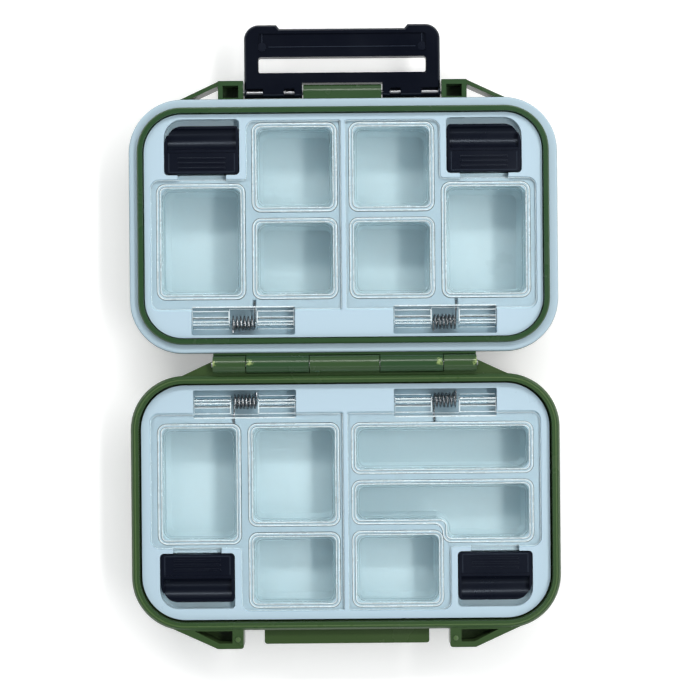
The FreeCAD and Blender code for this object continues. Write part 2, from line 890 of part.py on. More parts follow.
def tab_slot(half, side, gap):
    """The outline of a lid's latch tab, grown by a gap."""
    centre = half.button_outer - s.button_width / 2
    reach = s.tab_width / 2 + gap
    start = s.button_head - s.button_gap - s.notch_rib_end - s.lid_gap - s.overrun
    stop = s.button_head - s.button_gap - s.notch_rib_end + s.tab_reach + gap
    corners = rectangle(centre - reach, centre + reach, -stop, -start)
    return placed(corners, side, half.hinge_side)


def leg_groove(half, side):
    """The outline of the groove that the spring's lid leg lies in, at the coil's first end."""
    centre = s.lid_hinge_centre * side - coil_half() * half.hinge_side
    reach = s.leg_groove / 2
    start = half.axis - s.lid_leg - s.leg_groove / 2
    stop = half.axis - s.hinge_bay_inner + s.overrun
    corners = rectangle(centre - reach, centre + reach, start, stop)
    return placed(corners, 1, half.hinge_side)


def coil_half():
    """Half the length of a lid spring's coil, along X, at the middle of its wire."""
    return s.lid_coil_pitch * LID_COILS / 2


def make_tray(half, wells):
    """A moulded tray: plate, wells, hinge bays with pin seats, button bays with spring posts."""
    piece = Piece(half.name + "_tray", y=half.centre_y, z=half.tray_top)
    wall = s.tray_wall
    sides = (1, -1)
    hinge_bays = [hinge_bay(half, side) for side in sides]
    button_bays = [button_bay(half, side, -s.ledge_run) for side in sides]
    button_ledges = [button_bay(half, side) for side in sides]
    slots = [tab_slot(half, side, s.lid_gap) for side in sides]
    slot_depth = s.tab_thickness + s.tab_gap - LID_LOW
    grooves = [leg_groove(half, side) for side in sides]
    piece.layer(-s.tray_plate, ZERO, rim_outline(half.margin))
    piece.layer(-half.depth - s.tray_floor, LID_LOW, *[grown(well, wall) for well in wells])
    piece.layer(-BAY_DEPTH - wall, LID_LOW, *[grown(bay, wall) for bay in hinge_bays])
    piece.layer(-s.button_bay_depth - wall, LID_LOW, *[grown(bay, wall) for bay in button_bays])
    piece.layer(-s.button_ledge_depth - wall, LID_LOW, *[grown(bay, wall) for bay in button_ledges])
    piece.layer(-slot_depth - wall, LID_LOW, *[grown(slot, wall) for slot in slots])
    piece.layer(-s.leg_groove_depth - wall, LID_LOW, *[grown(groove, wall) for groove in grooves])
    piece.sink(ZERO, -LID_LOW, *[lid_outline(half, side, s.lid_swing_room) for side in sides])
    piece.sink(ZERO, half.depth, *wells)
    piece.chamfer(s.well_floor_bevel, lambda edge: at_height(edge, -half.depth))
    piece.sink(ZERO, BAY_DEPTH, *hinge_bays)
    piece.sink(ZERO, s.button_bay_depth, *button_bays)
    piece.sink(ZERO, s.button_ledge_depth, *button_ledges)
    piece.sink(ZERO, slot_depth, *slots)
    piece.sink(ZERO, s.leg_groove_depth, *grooves)
    for side in sides:
        start = (s.lid_hinge_centre - s.lid_hinge_width / 2 - s.lid_pin_seat) * side
        stop = (s.lid_hinge_centre + s.lid_hinge_width / 2 + s.lid_pin_seat) * side
        y = half.axis * half.hinge_side
        piece.bore(start, stop, y, -LID_AXIS_DEPTH, s.lid_pin_radius + s.pin_fit)
    posts = [spring_post(half, side) for side in sides]
    post_top = spring_height() + s.button_coil_radius
    piece.layer(-s.button_bay_depth - wall / 2, post_top, *posts)
    return piece


def spring_height():
    """The height of a button spring's axis, from the tray's top."""
    return -s.button_bay_depth + s.button_spring_seat


def spring_start():
    """How far from the tray's middle line a button spring's near end is, along Y."""
    return s.button_head + s.button_spring_start


def spring_post(half, side):
    """The outline of the post that a button spring pushes on."""
    centre = half.button_outer - s.button_width / 2
    reach = s.button_coil_radius
    start = spring_start() + s.button_spring_length + s.spring_end_gap * 2
    corners = rectangle(centre - reach, centre + reach, -start - s.spring_post, -start)
    return placed(corners, side, half.hinge_side)


# Lids, their pins and springs


def make_lid(half, side, wells):
    """A clear lid: plate with plug ribs, a latch tab, and two arms that end in hinge barrels."""
    name = half.name + "_lid_" + ("right" if side > 0 else "left")
    piece = Piece(name, y=half.centre_y, z=half.tray_top)
    plate = grown(lid_outline(half, side), -s.lid_gap)
    piece.layer(LID_LOW, LID_TOP, plate)
    for well in wells:
        if plain(well[0][0]) * side > 0:
            outer = grown(well, -s.lid_rib_clearance)
            inner = grown(outer, -s.lid_rib_width)
            piece.ring(LID_LOW - s.lid_rib_depth, LID_LOW, outer, inner)
    piece.layer(LID_LOW - s.tab_thickness, LID_LOW, tab_slot(half, side, ZERO))
    back = (half.lid_head - s.lid_gap - s.overrun) * half.hinge_side
    axis = half.axis * half.hinge_side
    width = s.lid_hinge_width / 2 - s.lid_hinge_gap
    bay = s.spring_bay / 2
    for end in (-1, 1):
        inner = s.lid_hinge_centre * side + bay * end
        outer = s.lid_hinge_centre * side + width * end
        piece.layer(LID_LOW, LID_TOP, rectangle(inner, outer, back, axis))
        piece.bar(inner, outer, circle=(axis, -LID_AXIS_DEPTH, s.lid_barrel_radius))
    start = s.lid_hinge_centre * side - s.lid_hinge_width / 2
    stop = s.lid_hinge_centre * side + s.lid_hinge_width / 2
    piece.bore(start, stop, axis, -LID_AXIS_DEPTH, s.lid_pin_radius + s.pin_fit)
    return piece


def make_rod(name, length, radius, x, y, z):
    """A round steel pin along X, centred on x."""
    rod = doc.addObject("Part::Cylinder", name)
    rod.Label = name
    rod.setExpression("Radius", words(radius))
    rod.setExpression("Height", words(length))
    rod.Placement.Rotation = FreeCAD.Rotation(FreeCAD.Vector(0, 1, 0), 90)
    rod.setExpression("Placement.Base.x", words(x - length / 2))
    rod.setExpression("Placement.Base.y", words(y))
    rod.setExpression("Placement.Base.z", words(z))
    return rod


def biarc(start, start_way, end, end_way):
    """Two tangent arcs between two points with given directions."""
    chord = end - start
    a = 2 * (1 - start_way.dot(end_way))
    b = 2 * chord.dot(start_way + end_way)
    reach = (math.sqrt(b * b + 4 * a * chord.dot(chord)) - b) / (2 * a)
    near = start + start_way * reach
    far = end - end_way * reach
    middle = (near + far) * (1 / 2)
    return [arc_by(start, near, middle), arc_by(middle, far, end)]


def arc_by(start, corner, end):
    """The arc that touches both lines of an equal-sided corner."""
    chord_middle = (start + end) * (1 / 2)
    cosine = (end - start).Length / 2 / (corner - start).Length
    crown = chord_middle + (corner - chord_middle) * (cosine / (1 + cosine))
    return Part.Arc(start, crown, end).toShape()


def wire_path(points, ways, straight_ends):
    """A path of biarcs through points, with straight stretches where a span is marked as one."""
    edges = []
    for number in range(len(points) - 1):
        if number in straight_ends:
            edges.append(Part.LineSegment(points[number], points[number + 1]).toShape())
        else:
            edges += biarc(points[number], ways[number], points[number + 1], ways[number + 1])
    return Part.Wire(edges)


def wire_solid(path, radius, start, way):
    """A wire of a few flats, swept along a path."""
    circle = Part.makeCircle(plain(radius), start, way)
    corners = circle.discretize(Number=WIRE_FLATS + 1)
    return path.makePipeShell([Part.makePolygon(corners)], True, False)


def least_gap(points, radius, apart):
    """The least distance between stretches of a coil that are at least a number of samples apart."""
    least = math.inf
    for first in range(len(points)):
        for second in range(first + apart, len(points)):
            least = min(least, (points[first] - points[second]).Length)
    return least - 2 * plain(radius)


def coil_points(turns, radius, pitch, first_angle, end_ways):
    """Points and directions of a coil round the X axis, at about quarter turns, centred on the origin."""
    points, ways = [], []
    steps = round(turns * QUARTERS)
    for step in range(steps + 1):
        angle = first_angle + 2 * math.pi * turns * step / steps
        advance = pitch * turns * (step / steps - 1 / 2)
        points.append(FreeCAD.Vector(advance, radius * math.cos(angle), radius * math.sin(angle)))
        climb = pitch / (2 * math.pi)
        way = FreeCAD.Vector(climb, -radius * math.sin(angle), radius * math.cos(angle))
        ways.append(way.normalize())
    for number, flat in end_ways:
        flat_way = FreeCAD.Vector(0, ways[number].y, ways[number].z)
        ways[number] = flat_way.normalize() if flat else ways[number]
    return points, ways


def make_lid_spring(half, side):
    """A torsion spring round a lid's pin, with one leg under the lid and one on the tray."""
    name = half.name + "_lid_spring_" + ("right" if side > 0 else "left")
    radius = plain(s.lid_coil_radius)
    wire = s.lid_wire / 2
    leg_x = plain(s.lid_leg)
    leg_z = plain(LID_AXIS_DEPTH + LID_LOW - wire - s.lid_leg_gap)
    distance = math.hypot(leg_x, leg_z)
    bearing = math.pi - math.atan2(leg_z, leg_x)
    first = bearing + math.acos(radius / distance)
    last = 1.5 * math.pi + 2 * math.pi * LID_COILS
    turns = (last - first) / (2 * math.pi)
    pitch = 2 * plain(coil_half()) / turns
    points, ways = coil_points(turns, radius, pitch, first, [(0, True), (-1, True)])
    print(f"{name}: least gap {least_gap(points, wire, QUARTERS):.2f} mm, {turns:.2f} coils")
    tip = FreeCAD.Vector(points[0].x, -leg_x, leg_z)
    tail = points[-1] + ways[-1] * plain(s.tray_leg)
    points = [tip] + points + [tail]
    ways = [ways[0]] + ways + [ways[-1]]
    path = wire_path(points, ways, (0, len(points) - 2))
    solid = wire_solid(path, wire, points[0], ways[0])
    place = FreeCAD.Vector(
        plain(s.lid_hinge_centre) * side,
        plain(half.centre_y + half.axis * half.hinge_side),
        plain(half.tray_top - LID_AXIS_DEPTH),
    )
    return make_spring(name, solid, place, 0 if half.hinge_side > 0 else 180)


def make_spring(name, solid, place, turn):
    """A sub-part of a finished spring, moved to its place and turned about the upright."""
    spring = doc.addObject("Part::Feature", name)
    spring.Label = name
    spring.Shape = solid
    spring.Placement = FreeCAD.Placement(place, FreeCAD.Rotation(FreeCAD.Vector(0, 0, 1), turn))
    return spring


def make_lid_pin(half, side):
    """The clear pin that a lid turns on, held in the walls of its bay."""
    name = half.name + "_lid_pin_" + ("right" if side > 0 else "left")
    length = s.lid_hinge_width + s.lid_pin_seat * 2 - s.spring_end_gap * 2
    y = half.centre_y + half.axis * half.hinge_side
    z = half.tray_top - LID_AXIS_DEPTH
    return make_rod(name, length, s.lid_pin_radius, s.lid_hinge_centre * side, y, z)


# Buttons and their springs


def make_button(half, side):
    """A sliding button: a plate with a ridge and a finger scoop, on a block with a room for its spring."""
    name = half.name + "_button_" + ("right" if side > 0 else "left")
    piece = Piece(name, y=half.centre_y, z=half.tray_top)
    low = -s.button_bay_depth + s.button_lift
    piece.layer(low, s.button_proud, button_outline(half, side, -s.ledge_run))
    piece.layer(s.button_proud - s.button_plate, s.button_proud, button_outline(half, side))
    way = -half.hinge_side
    inner = (half.button_outer - s.button_width) * side
    outer = half.button_outer * side
    tip = s.button_head + s.button_length
    scoop_y = tip - s.scoop_rim - s.scoop_half
    scoop_radius = (s.scoop_half * s.scoop_half + s.scoop_depth * s.scoop_depth) / (s.scoop_depth * 2)
    scoop_z = s.button_proud - s.scoop_depth + scoop_radius
    rim = s.scoop_rim * side
    piece.bore(inner + rim, outer - rim, scoop_y * way, scoop_z, scoop_radius)
    ridge_y = scoop_y - s.scoop_half - s.ridge_width
    ridge = rectangle(inner + rim, outer - rim, ridge_y * way, (ridge_y + s.ridge_width) * way)
    piece.layer(s.button_proud - s.overrun, s.button_proud + s.ridge_height, ridge)
    centre = (half.button_outer - s.button_width / 2) * side
    reach = s.button_coil_radius + s.spring_room
    room_high = spring_height() + s.button_coil_radius + s.spring_room
    near = spring_start() - s.spring_end_gap
    far = near + s.button_spring_length + s.spring_post + s.spring_room * 2
    room = rectangle(centre - reach, centre + reach, near * way, far * way)
    piece.sink(room_high, s.button_bay_depth, room)
    return piece


def make_button_spring(half, side):
    """The compression spring that pushes a button back towards its lid's tab."""
    name = half.name + "_button_spring_" + ("right" if side > 0 else "left")
    wire = s.button_wire / 2
    length = plain(s.button_spring_length - s.button_wire)
    radius = plain(s.button_coil_radius - wire)
    points, ways = coil_points(BUTTON_COILS, radius, length / BUTTON_COILS, 0, [])
    print(f"{name}: least gap {least_gap(points, wire, QUARTERS):.2f} mm, {BUTTON_COILS} coils")
    path = wire_path(points, ways, ())
    solid = wire_solid(path, wire, points[0], ways[0])
    middle = spring_start() + s.button_spring_length / 2
    place = FreeCAD.Vector(
        plain(half.button_outer - s.button_width / 2) * side,
        plain(half.centre_y - middle * half.hinge_side),
        plain(half.tray_top + spring_height()),
    )
    return make_spring(name, solid, place, 90)


def check_document():
    """Stops the build if any object failed, or a cut took nothing away."""
    for item in doc.Objects:
        if "Invalid" in item.State or "Error" in item.State:
            raise RuntimeError(f"{item.Name} failed: {item.State}")
    for piece in pieces:
        for cut in piece.cuts:
            before = cut.BaseFeature.Shape.Volume
            if not cut.Shape.Volume < before:
                raise RuntimeError(f"{cut.Name} cuts nothing")


def check_solid(item):
    """Stops the build if a sub-part isn't one sound solid."""
    shape = item.Shape
    if shape.isNull() or not shape.isValid() or len(shape.Solids) != 1:
        raise RuntimeError(f"{item.Label} isn't one valid solid")


pieces = [make_base_shell(), make_cover_shell(), make_gasket(), make_handle()]
loose = [
    make_rod(
        "main_hinge_pin",
        s.hinge_length + s.hinge_pin_proud * 2,
        s.hinge_pin_radius,
        ZERO,
        HINGE_Y,
        s.half_depth,
    ),
    make_rod(
        "handle_pin",
        s.handle_length + s.block_gap * 2 + s.cover_ear_wall * 2,
        s.latch_pin_radius,
        ZERO,
        COVER_Y + LATCH_Y,
        LATCH_Z,
    ),
]
for half, wells in ((BASE, base_wells()), (COVER, cover_wells())):
    pieces.append(make_tray(half, wells))
    for side in (-1, 1):
        pieces.append(make_lid(half, side, wells))
        pieces.append(make_button(half, side))
        loose.append(make_lid_pin(half, side))
        loose.append(make_lid_spring(half, side))
        loose.append(make_button_spring(half, side))
doc.recompute()
check_document()

parts = [piece.body for piece in pieces] + loose
for item in parts:
    check_solid(item)
os.makedirs("parts", exist_ok=True)
for item in parts:
    item.Shape.exportStep(os.path.join("parts", item.Label + ".step"))
    print(f"{item.Label}: {item.Shape.Volume / 1000:.2f} cm3")
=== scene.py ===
# %% [markdown]
# # A double-sided tackle box, dressed
#
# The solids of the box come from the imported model: two shells, two trays, clear lids, buttons, pins and
# springs. This lesson gives them what a moulded product shows and a plain solid lacks: edges that are a
# little round, clear lids that bend the light, wound springs, and plastics with their own skin.
# X runs along the main hinge, Y from the base half over the hinge to the cover half, and Z points up.
# Blender measures in metres. The sizes of the small forms are written in millimetres and multiplied by MM
# where they are used.

# %% Load the solids
import json
import math

import bmesh
import bpy
from mathutils import Matrix, Vector

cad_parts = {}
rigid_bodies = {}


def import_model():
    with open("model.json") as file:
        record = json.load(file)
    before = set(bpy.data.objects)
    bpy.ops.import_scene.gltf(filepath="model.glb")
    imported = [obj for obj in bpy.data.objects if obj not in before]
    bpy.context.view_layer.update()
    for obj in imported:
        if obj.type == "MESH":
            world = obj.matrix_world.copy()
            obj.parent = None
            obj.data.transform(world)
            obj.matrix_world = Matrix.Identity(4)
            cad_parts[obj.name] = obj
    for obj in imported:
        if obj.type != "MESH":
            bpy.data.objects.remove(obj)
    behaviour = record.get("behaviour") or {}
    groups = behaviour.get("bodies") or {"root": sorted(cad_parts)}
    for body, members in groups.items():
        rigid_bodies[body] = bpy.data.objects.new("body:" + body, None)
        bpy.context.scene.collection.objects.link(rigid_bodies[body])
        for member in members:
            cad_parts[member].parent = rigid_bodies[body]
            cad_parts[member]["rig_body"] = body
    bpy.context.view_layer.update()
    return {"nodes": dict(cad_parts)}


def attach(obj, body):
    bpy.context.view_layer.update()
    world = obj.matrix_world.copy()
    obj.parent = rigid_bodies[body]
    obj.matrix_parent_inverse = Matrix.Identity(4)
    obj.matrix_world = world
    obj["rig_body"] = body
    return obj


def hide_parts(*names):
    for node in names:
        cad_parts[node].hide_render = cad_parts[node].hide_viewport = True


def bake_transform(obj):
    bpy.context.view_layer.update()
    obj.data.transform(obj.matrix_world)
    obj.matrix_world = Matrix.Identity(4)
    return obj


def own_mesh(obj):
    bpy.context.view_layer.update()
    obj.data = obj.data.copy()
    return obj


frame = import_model()
MM = 0.001

# %% [markdown]
# ## The camera
#
# The open box was photographed from straight above. A lens at a finite height sees the near side walls of the
# deep wells, so the camera's height matters as much as its frame: here it is as high as the drift of the well
# floors towards the middle of the picture says. It is rolled by under a degree, as a hand-held camera is.

# %% Place the camera
RIM_HEIGHT = 24 * MM
CAMERA_RISE = 600 * MM
FRAME_WIDTH = 260.7 * MM
LOOK_X = 2.05 * MM
LOOK_Y = 56.65 * MM
ROLL = math.radians(-0.5)

camera_data = bpy.data.cameras.new("camera")
camera_data.sensor_fit = "HORIZONTAL"
camera_data.angle = 2 * math.atan(FRAME_WIDTH / 2 / CAMERA_RISE)
camera = bpy.data.objects.new("camera", camera_data)
camera.location = (LOOK_X, LOOK_Y, RIM_HEIGHT + CAMERA_RISE)
camera.rotation_euler = (0, 0, ROLL)
bpy.context.scene.collection.objects.link(camera)
bpy.context.scene.camera = camera
print(f"the lens takes in {math.degrees(camera_data.angle):.1f} degrees")

# %% [markdown]
# ## The floor
#
# The floor is a plain pale sheet that the box lies on. A product photo's white ground isn't more light on the
# box, so the sheet has some white of its own, which the camera sees, straight, mirrored or through clear
# plastic, and which casts no light. Far from the box, where the lamps don't reach, there is more of it. Every
# material here sets up its nodes in the same few ways, so short helpers for that come first.

# %% Lay the floor
FLOOR_HALF = 1.5


def link(name, mesh):
    """An object for a mesh, in the scene."""
    made = bpy.data.objects.new(name, mesh)
    bpy.context.scene.collection.objects.link(made)
    return made


def mesh_from(name, shape):
    """A mesh out of a finished bmesh."""
    mesh = bpy.data.meshes.new(name)
    shape.to_mesh(mesh)
    shape.free()
    return mesh


sheet_shape = bmesh.new()
bmesh.ops.create_grid(sheet_shape, x_segments=1, y_segments=1, size=FLOOR_HALF)
floor = link("floor", mesh_from("floor", sheet_shape))
print(f"a sheet {2 * FLOOR_HALF:.0f} m wide")

# %% Prepare the nodes


def new_material(name):
    """An empty node material, with its tree and its Principled shader."""
    made = bpy.data.materials.new(name)
    made.use_nodes = True
    return made, made.node_tree, made.node_tree.nodes["Principled BSDF"]


def feed(tree, socket, value):
    """Sets a node's input, or links another node's output to it."""
    if isinstance(value, bpy.types.NodeSocket):
        tree.links.new(value, socket)
    else:
        socket.default_value = value


def own_place(tree):
    """Where on its piece a point lies."""
    return tree.nodes.new("ShaderNodeTexCoord").outputs["Object"]


def worked_out(tree, operation, *values):
    """The result of a sum on numbers and outputs."""
    node = tree.nodes.new("ShaderNodeMath")
    node.operation = operation
    for socket, value in zip(node.inputs, values):
        feed(tree, socket, value)
    return node.outputs["Value"]


def measured(tree, operation, *places):
    """The length of one place's vector, or the distance of two places."""
    node = tree.nodes.new("ShaderNodeVectorMath")
    node.operation = operation
    for socket, place in zip(node.inputs, places):
        tree.links.new(place, socket)
    return node.outputs["Value"]


def stretched(tree, value, low, high, start=0, end=1, curve="LINEAR"):
    """A value whose range from low to high becomes one from start to end, and stops there."""
    node = tree.nodes.new("ShaderNodeMapRange")
    node.interpolation_type = curve
    labels = ("Value", "From Min", "From Max", "To Min", "To Max")
    for label, given in zip(labels, (value, low, high, start, end)):
        feed(tree, node.inputs[label], given)
    return node.outputs["Result"]


print("helpers for materials, places, sums, lengths and ranges")

# %% Paint the floor
SHEET_WHITE = 0.93
# From and to how far from the sheet's middle its own white comes up, in metres, and from and to what
FLOOR_FADE = (0.35, 1.3, 0.3, 0.6)


def sheet_paint():
    """Matt white with some white of its own, which casts no light."""
    made, tree, shader = new_material("pale_floor")
    shader.inputs["Base Color"].default_value = (SHEET_WHITE, SHEET_WHITE, SHEET_WHITE, 1)
    shader.inputs["Roughness"].default_value = 0.9
    shader.inputs["Specular IOR Level"].default_value = 0.2
    shader.inputs["Emission Color"].default_value = (1, 1, 1, 1)
    rays = tree.nodes.new("ShaderNodeLightPath")
    seen = rays.outputs["Is Camera Ray"]
    for ray in ("Is Glossy Ray", "Is Transmission Ray"):
        seen = worked_out(tree, "MAXIMUM", seen, rays.outputs[ray])
    reach = measured(tree, "LENGTH", own_place(tree))
    white = stretched(tree, reach, *FLOOR_FADE, curve="SMOOTHSTEP")
    tree.links.new(worked_out(tree, "MULTIPLY", seen, white), shader.inputs["Emission Strength"])
    return made


floor.data.materials.append(sheet_paint())
print(f"its own white goes from {FLOOR_FADE[2]} to {FLOOR_FADE[3]}")

# %% [markdown]
# ## The light
#
# The lamps stay at a level at which a colour renders about as it is written. Each well is a little dark
# along its right wall and along its upper wall, and darkest in the corner where the two meet. Two long
# strip lamps do that, one beyond each wall. A strip also draws a thin highlight along every straight edge
# that faces it, which one small lamp can't, so two faint strips on the other sides give the edges there
# their lines as well. The world fills in from all round. It is palest at the horizon, which a level view
# shows behind the box, and darkest straight overhead, where the camera is: that is what the flat black
# and green plastic mirrors.

# %% Spread the sky
SKY = (0.93, 0.97, 1.0, 1)
# How high in the sky, from the horizon's 0 to 1 overhead, and how bright it is there
SKY_STEPS = ((0.0, 0.95), (0.14, 0.88), (0.36, 0.34), (0.86, 0.24), (1.0, 0.07))


def split(tree, place):
    """The X, Y and Z of a place."""
    node = tree.nodes.new("ShaderNodeSeparateXYZ")
    tree.links.new(place, node.inputs["Vector"])
    return node.outputs


def ramp(tree, value, steps):
    """A colour that follows a value through some steps."""
    node = tree.nodes.new("ShaderNodeValToRGB")
    while len(node.color_ramp.elements) < len(steps):
        node.color_ramp.elements.new(0.5)
    for stop, (position, colour) in zip(node.color_ramp.elements, steps):
        stop.position = position
        stop.color = colour
    tree.links.new(value, node.inputs["Fac"])
    return node.outputs["Color"]


world = bpy.data.worlds.new("studio")
bpy.context.scene.world = world
world.use_nodes = True
sky = world.node_tree
world_light = sky.nodes["Background"]
world_light.inputs["Color"].default_value = SKY
sky_way = sky.nodes.new("ShaderNodeTexCoord").outputs["Generated"]
sky_greys = [(height, (level, level, level, 1)) for height, level in SKY_STEPS]
sky.links.new(ramp(sky, split(sky, sky_way)["Z"], sky_greys), world_light.inputs["Strength"])
print(f"a sky of {len(SKY_STEPS)} levels")

# %% Hang the lamps
MIDDLE = Vector((0, LOOK_Y, RIM_HEIGHT))
WARM = (1, 0.99, 0.97)
COOL = (0.95, 0.98, 1)
STRIP_LENGTH = 1.6
# Name, place, width, watts and colour of each strip
STRIPS = (
    ("right_strip", (0.7, LOOK_Y, 1.15), 0.18, 9.4, WARM),
    ("upper_strip", (0, LOOK_Y + 0.9, 1.1), 0.18, 10.0, WARM),
    ("left_strip", (-0.8, LOOK_Y, 1.0), 0.03, 1.4, COOL),
    ("lower_strip", (0, LOOK_Y - 0.9, 1.0), 0.03, 1.4, COOL),
)


def add_strip(name, place, width, watts, colour):
    """A long soft lamp that shines at the middle of the box."""
    data = bpy.data.lights.new(name, "AREA")
    data.shape = "RECTANGLE"
    data.size = STRIP_LENGTH
    data.size_y = width
    data.energy = watts
    data.color = colour
    lamp = bpy.data.objects.new(name, data)
    lamp.location = place
    lamp.rotation_euler = (MIDDLE - Vector(place)).to_track_quat("-Z", "Y").to_euler()
    bpy.context.scene.collection.objects.link(lamp)


for strip in STRIPS:
    add_strip(*strip)
bpy.context.scene.view_settings.view_transform = "Standard"
print(f"{len(STRIPS)} strips")

# %% [markdown]
# ## Shared effects
#
# No moulding is one flat colour. Its skin has a very fine texture from the tool, its colour drifts a little
# over a hand's width, and handling leaves it duller in places. A deep well is painted greyer, as painted
# shade for the light in it that has met the walls first. The low bays of the lids' hinges are painted
# darker, as painted shade under the lids' arms, and the main hinge rubs pale where its knuckles meet. These
# effects are built once, as shader node groups with named inputs, and each plastic uses them with values
# of its own.

# %% Build the groups for colour and skin
# A Mix node has inputs for every kind of data: these are the numbers of its two colours and of their result
MIX_FIRST = 6
MIX_SECOND = 7
MIX_RESULT = 2


def start_group(name, inputs, outputs):
    """A shader node group with named sockets, with what it is given and where its results go."""
    group = bpy.data.node_groups.new(name, "ShaderNodeTree")
    for label, kind, value in inputs:
        group.interface.new_socket(label, in_out="INPUT", socket_type=kind).default_value = value
    for label, kind in outputs:
        group.interface.new_socket(label, in_out="OUTPUT", socket_type=kind)
    given = group.nodes.new("NodeGroupInput").outputs
    return group, given, group.nodes.new("NodeGroupOutput").inputs


def cloudy(tree, place, scale, detail, roughness=0.5):
    """A cloudy pattern of values from 0 to 1."""
    node = tree.nodes.new("ShaderNodeTexNoise")
    labels = ("Vector", "Scale", "Detail", "Roughness")
    for label, value in zip(labels, (place, scale, detail, roughness)):
        feed(tree, node.inputs[label], value)
    return node.outputs["Fac"]


def mixed(tree, share, first, second):
    """Two colours mixed, with a share of the second."""
    node = tree.nodes.new("ShaderNodeMix")
    node.data_type = "RGBA"
    for socket, value in (("Factor", share), (MIX_FIRST, first), (MIX_SECOND, second)):
        feed(tree, node.inputs[socket], value)
    return node.outputs[MIX_RESULT]


def drift_group():
    """Broad and fine variation of a colour, and of how dull the surface is."""
    group, given, result = start_group(
        "drift",
        [
            ("Color", "NodeSocketColor", (0.5, 0.5, 0.5, 1)),
            ("Shade", "NodeSocketColor", (0.4, 0.4, 0.4, 1)),
            ("Amount", "NodeSocketFloat", 0.4),
            ("Scale", "NodeSocketFloat", 40.0),
            ("Gloss Low", "NodeSocketFloat", 0.25),
            ("Gloss High", "NodeSocketFloat", 0.4),
        ],
        [("Color", "NodeSocketColor"), ("Roughness", "NodeSocketFloat")],
    )
    patches = cloudy(group, own_place(group), given["Scale"], 5, 0.6)
    share = worked_out(group, "MULTIPLY", patches, given["Amount"])
    group.links.new(mixed(group, share, given["Color"], given["Shade"]), result["Color"])
    gloss = stretched(group, patches, 0.3, 0.7, given["Gloss Low"], given["Gloss High"])
    group.links.new(gloss, result["Roughness"])
    return group


def skin_group():
    """The fine texture and faint waviness of a moulded surface, as a normal."""
    group, given, result = start_group(
        "skin",
        [
            ("Grain Scale", "NodeSocketFloat", 2500.0),
            ("Grain", "NodeSocketFloat", 0.15),
            ("Wave Scale", "NodeSocketFloat", 120.0),
            ("Wave", "NodeSocketFloat", 0.3),
            ("Depth", "NodeSocketFloat", 0.02 * MM),
        ],
        [("Normal", "NodeSocketVector")],
    )
    place = own_place(group)
    heights = []
    for kind in ("Grain", "Wave"):
        bumps = cloudy(group, place, given[kind + " Scale"], 2)
        heights.append(worked_out(group, "MULTIPLY", bumps, given[kind]))
    bump = group.nodes.new("ShaderNodeBump")
    group.links.new(worked_out(group, "ADD", *heights), bump.inputs["Height"])
    group.links.new(given["Depth"], bump.inputs["Distance"])
    group.links.new(bump.outputs["Normal"], result["Normal"])
    return group


DRIFT = drift_group()
SKIN = skin_group()
print(f"groups: {DRIFT.name} and {SKIN.name}")

# %% Build the groups for depth and painted bay shade
# How far from the middle of a hinge bay the painted shade reaches, and over how much it fades
BAY_REACH = 5.2 * MM
BAY_FADE = 0.4 * MM


def depth_group():
    """How deep a place lies under a level, from 0 to 1, for a colour that changes on the way down."""
    group, given, result = start_group(
        "depth",
        [
            ("Top", "NodeSocketFloat", 20 * MM),
            ("Start", "NodeSocketFloat", 1 * MM),
            ("End", "NodeSocketFloat", 4 * MM),
        ],
        [("Mask", "NodeSocketFloat")],
    )
    under = worked_out(group, "SUBTRACT", given["Top"], split(group, own_place(group))["Z"])
    group.links.new(stretched(group, under, given["Start"], given["End"]), result["Mask"])
    return group


def grime_group():
    """A mask of painted shade low in a hinge bay: depth, kept only near one line along X."""
    group, given, result = start_group(
        "grime",
        [("Depth", "NodeSocketFloat", 0), ("Along", "NodeSocketFloat", 36.8 * MM)],
        [("Mask", "NodeSocketFloat")],
    )
    beside = worked_out(group, "SUBTRACT", split(group, own_place(group))["Y"], given["Along"])
    away = worked_out(group, "ABSOLUTE", beside)
    near = stretched(group, away, BAY_REACH + BAY_FADE, BAY_REACH)
    group.links.new(worked_out(group, "MULTIPLY", near, given["Depth"]), result["Mask"])
    return group


DEPTH = depth_group()
GRIME = grime_group()
print(f"groups: {DEPTH.name} and {GRIME.name}")

# %% Build the group for wear
# Where along the main hinge, to both sides of its middle, two knuckles meet
KNUCKLE_ENDS = (35.2 * MM, 48.8 * MM)
KNUCKLE_Y = 52.2 * MM
# How fine a scuff's ragged edge is, how far nearness outweighs it, and from and to where the wear shows
RAGGED_SCALE = 1600
NEARNESS = 0.6
WORN_FROM = 0.82
WORN_TO = 1.0


def level_place(tree, x, y):
    """A place from its X and its Y alone."""
    node = tree.nodes.new("ShaderNodeCombineXYZ")
    tree.links.new(x, node.inputs["X"])
    tree.links.new(y, node.inputs["Y"])
    return node.outputs["Vector"]


def scuff_group():
    """Ragged patches of wear round one place along the main hinge, and its mirror image."""
    group, given, result = start_group(
        "scuff",
        [
            ("Across", "NodeSocketFloat", KNUCKLE_ENDS[0]),
            ("Along", "NodeSocketFloat", KNUCKLE_Y),
            ("Reach", "NodeSocketFloat", 2.6 * MM),
        ],
        [("Mask", "NodeSocketFloat")],
    )
    place = own_place(group)
    parts = split(group, place)
    here = level_place(group, worked_out(group, "ABSOLUTE", parts["X"]), parts["Y"])
    centre = level_place(group, given["Across"], given["Along"])
    near = stretched(group, measured(group, "DISTANCE", here, centre), given["Reach"], 0)
    ragged = worked_out(group, "MULTIPLY_ADD", near, NEARNESS, cloudy(group, place, RAGGED_SCALE, 6))
    group.links.new(stretched(group, ragged, WORN_FROM, WORN_TO), result["Mask"])
    return group


SCUFF = scuff_group()
print(f"group: {SCUFF.name}")

# %% [markdown]
# ## The plastics and the steel
#
# The shells are dark green gloss plastic, the cover's from a slightly bluer batch than the base's. The trays
# are a pale blue-white, and the buttons and the handle black. All are plain dielectrics: what tells them
# apart is colour, how sharp the highlight is and how even the skin is. The written colours are darker than
# they look on screen, because Blender's colours are linear.

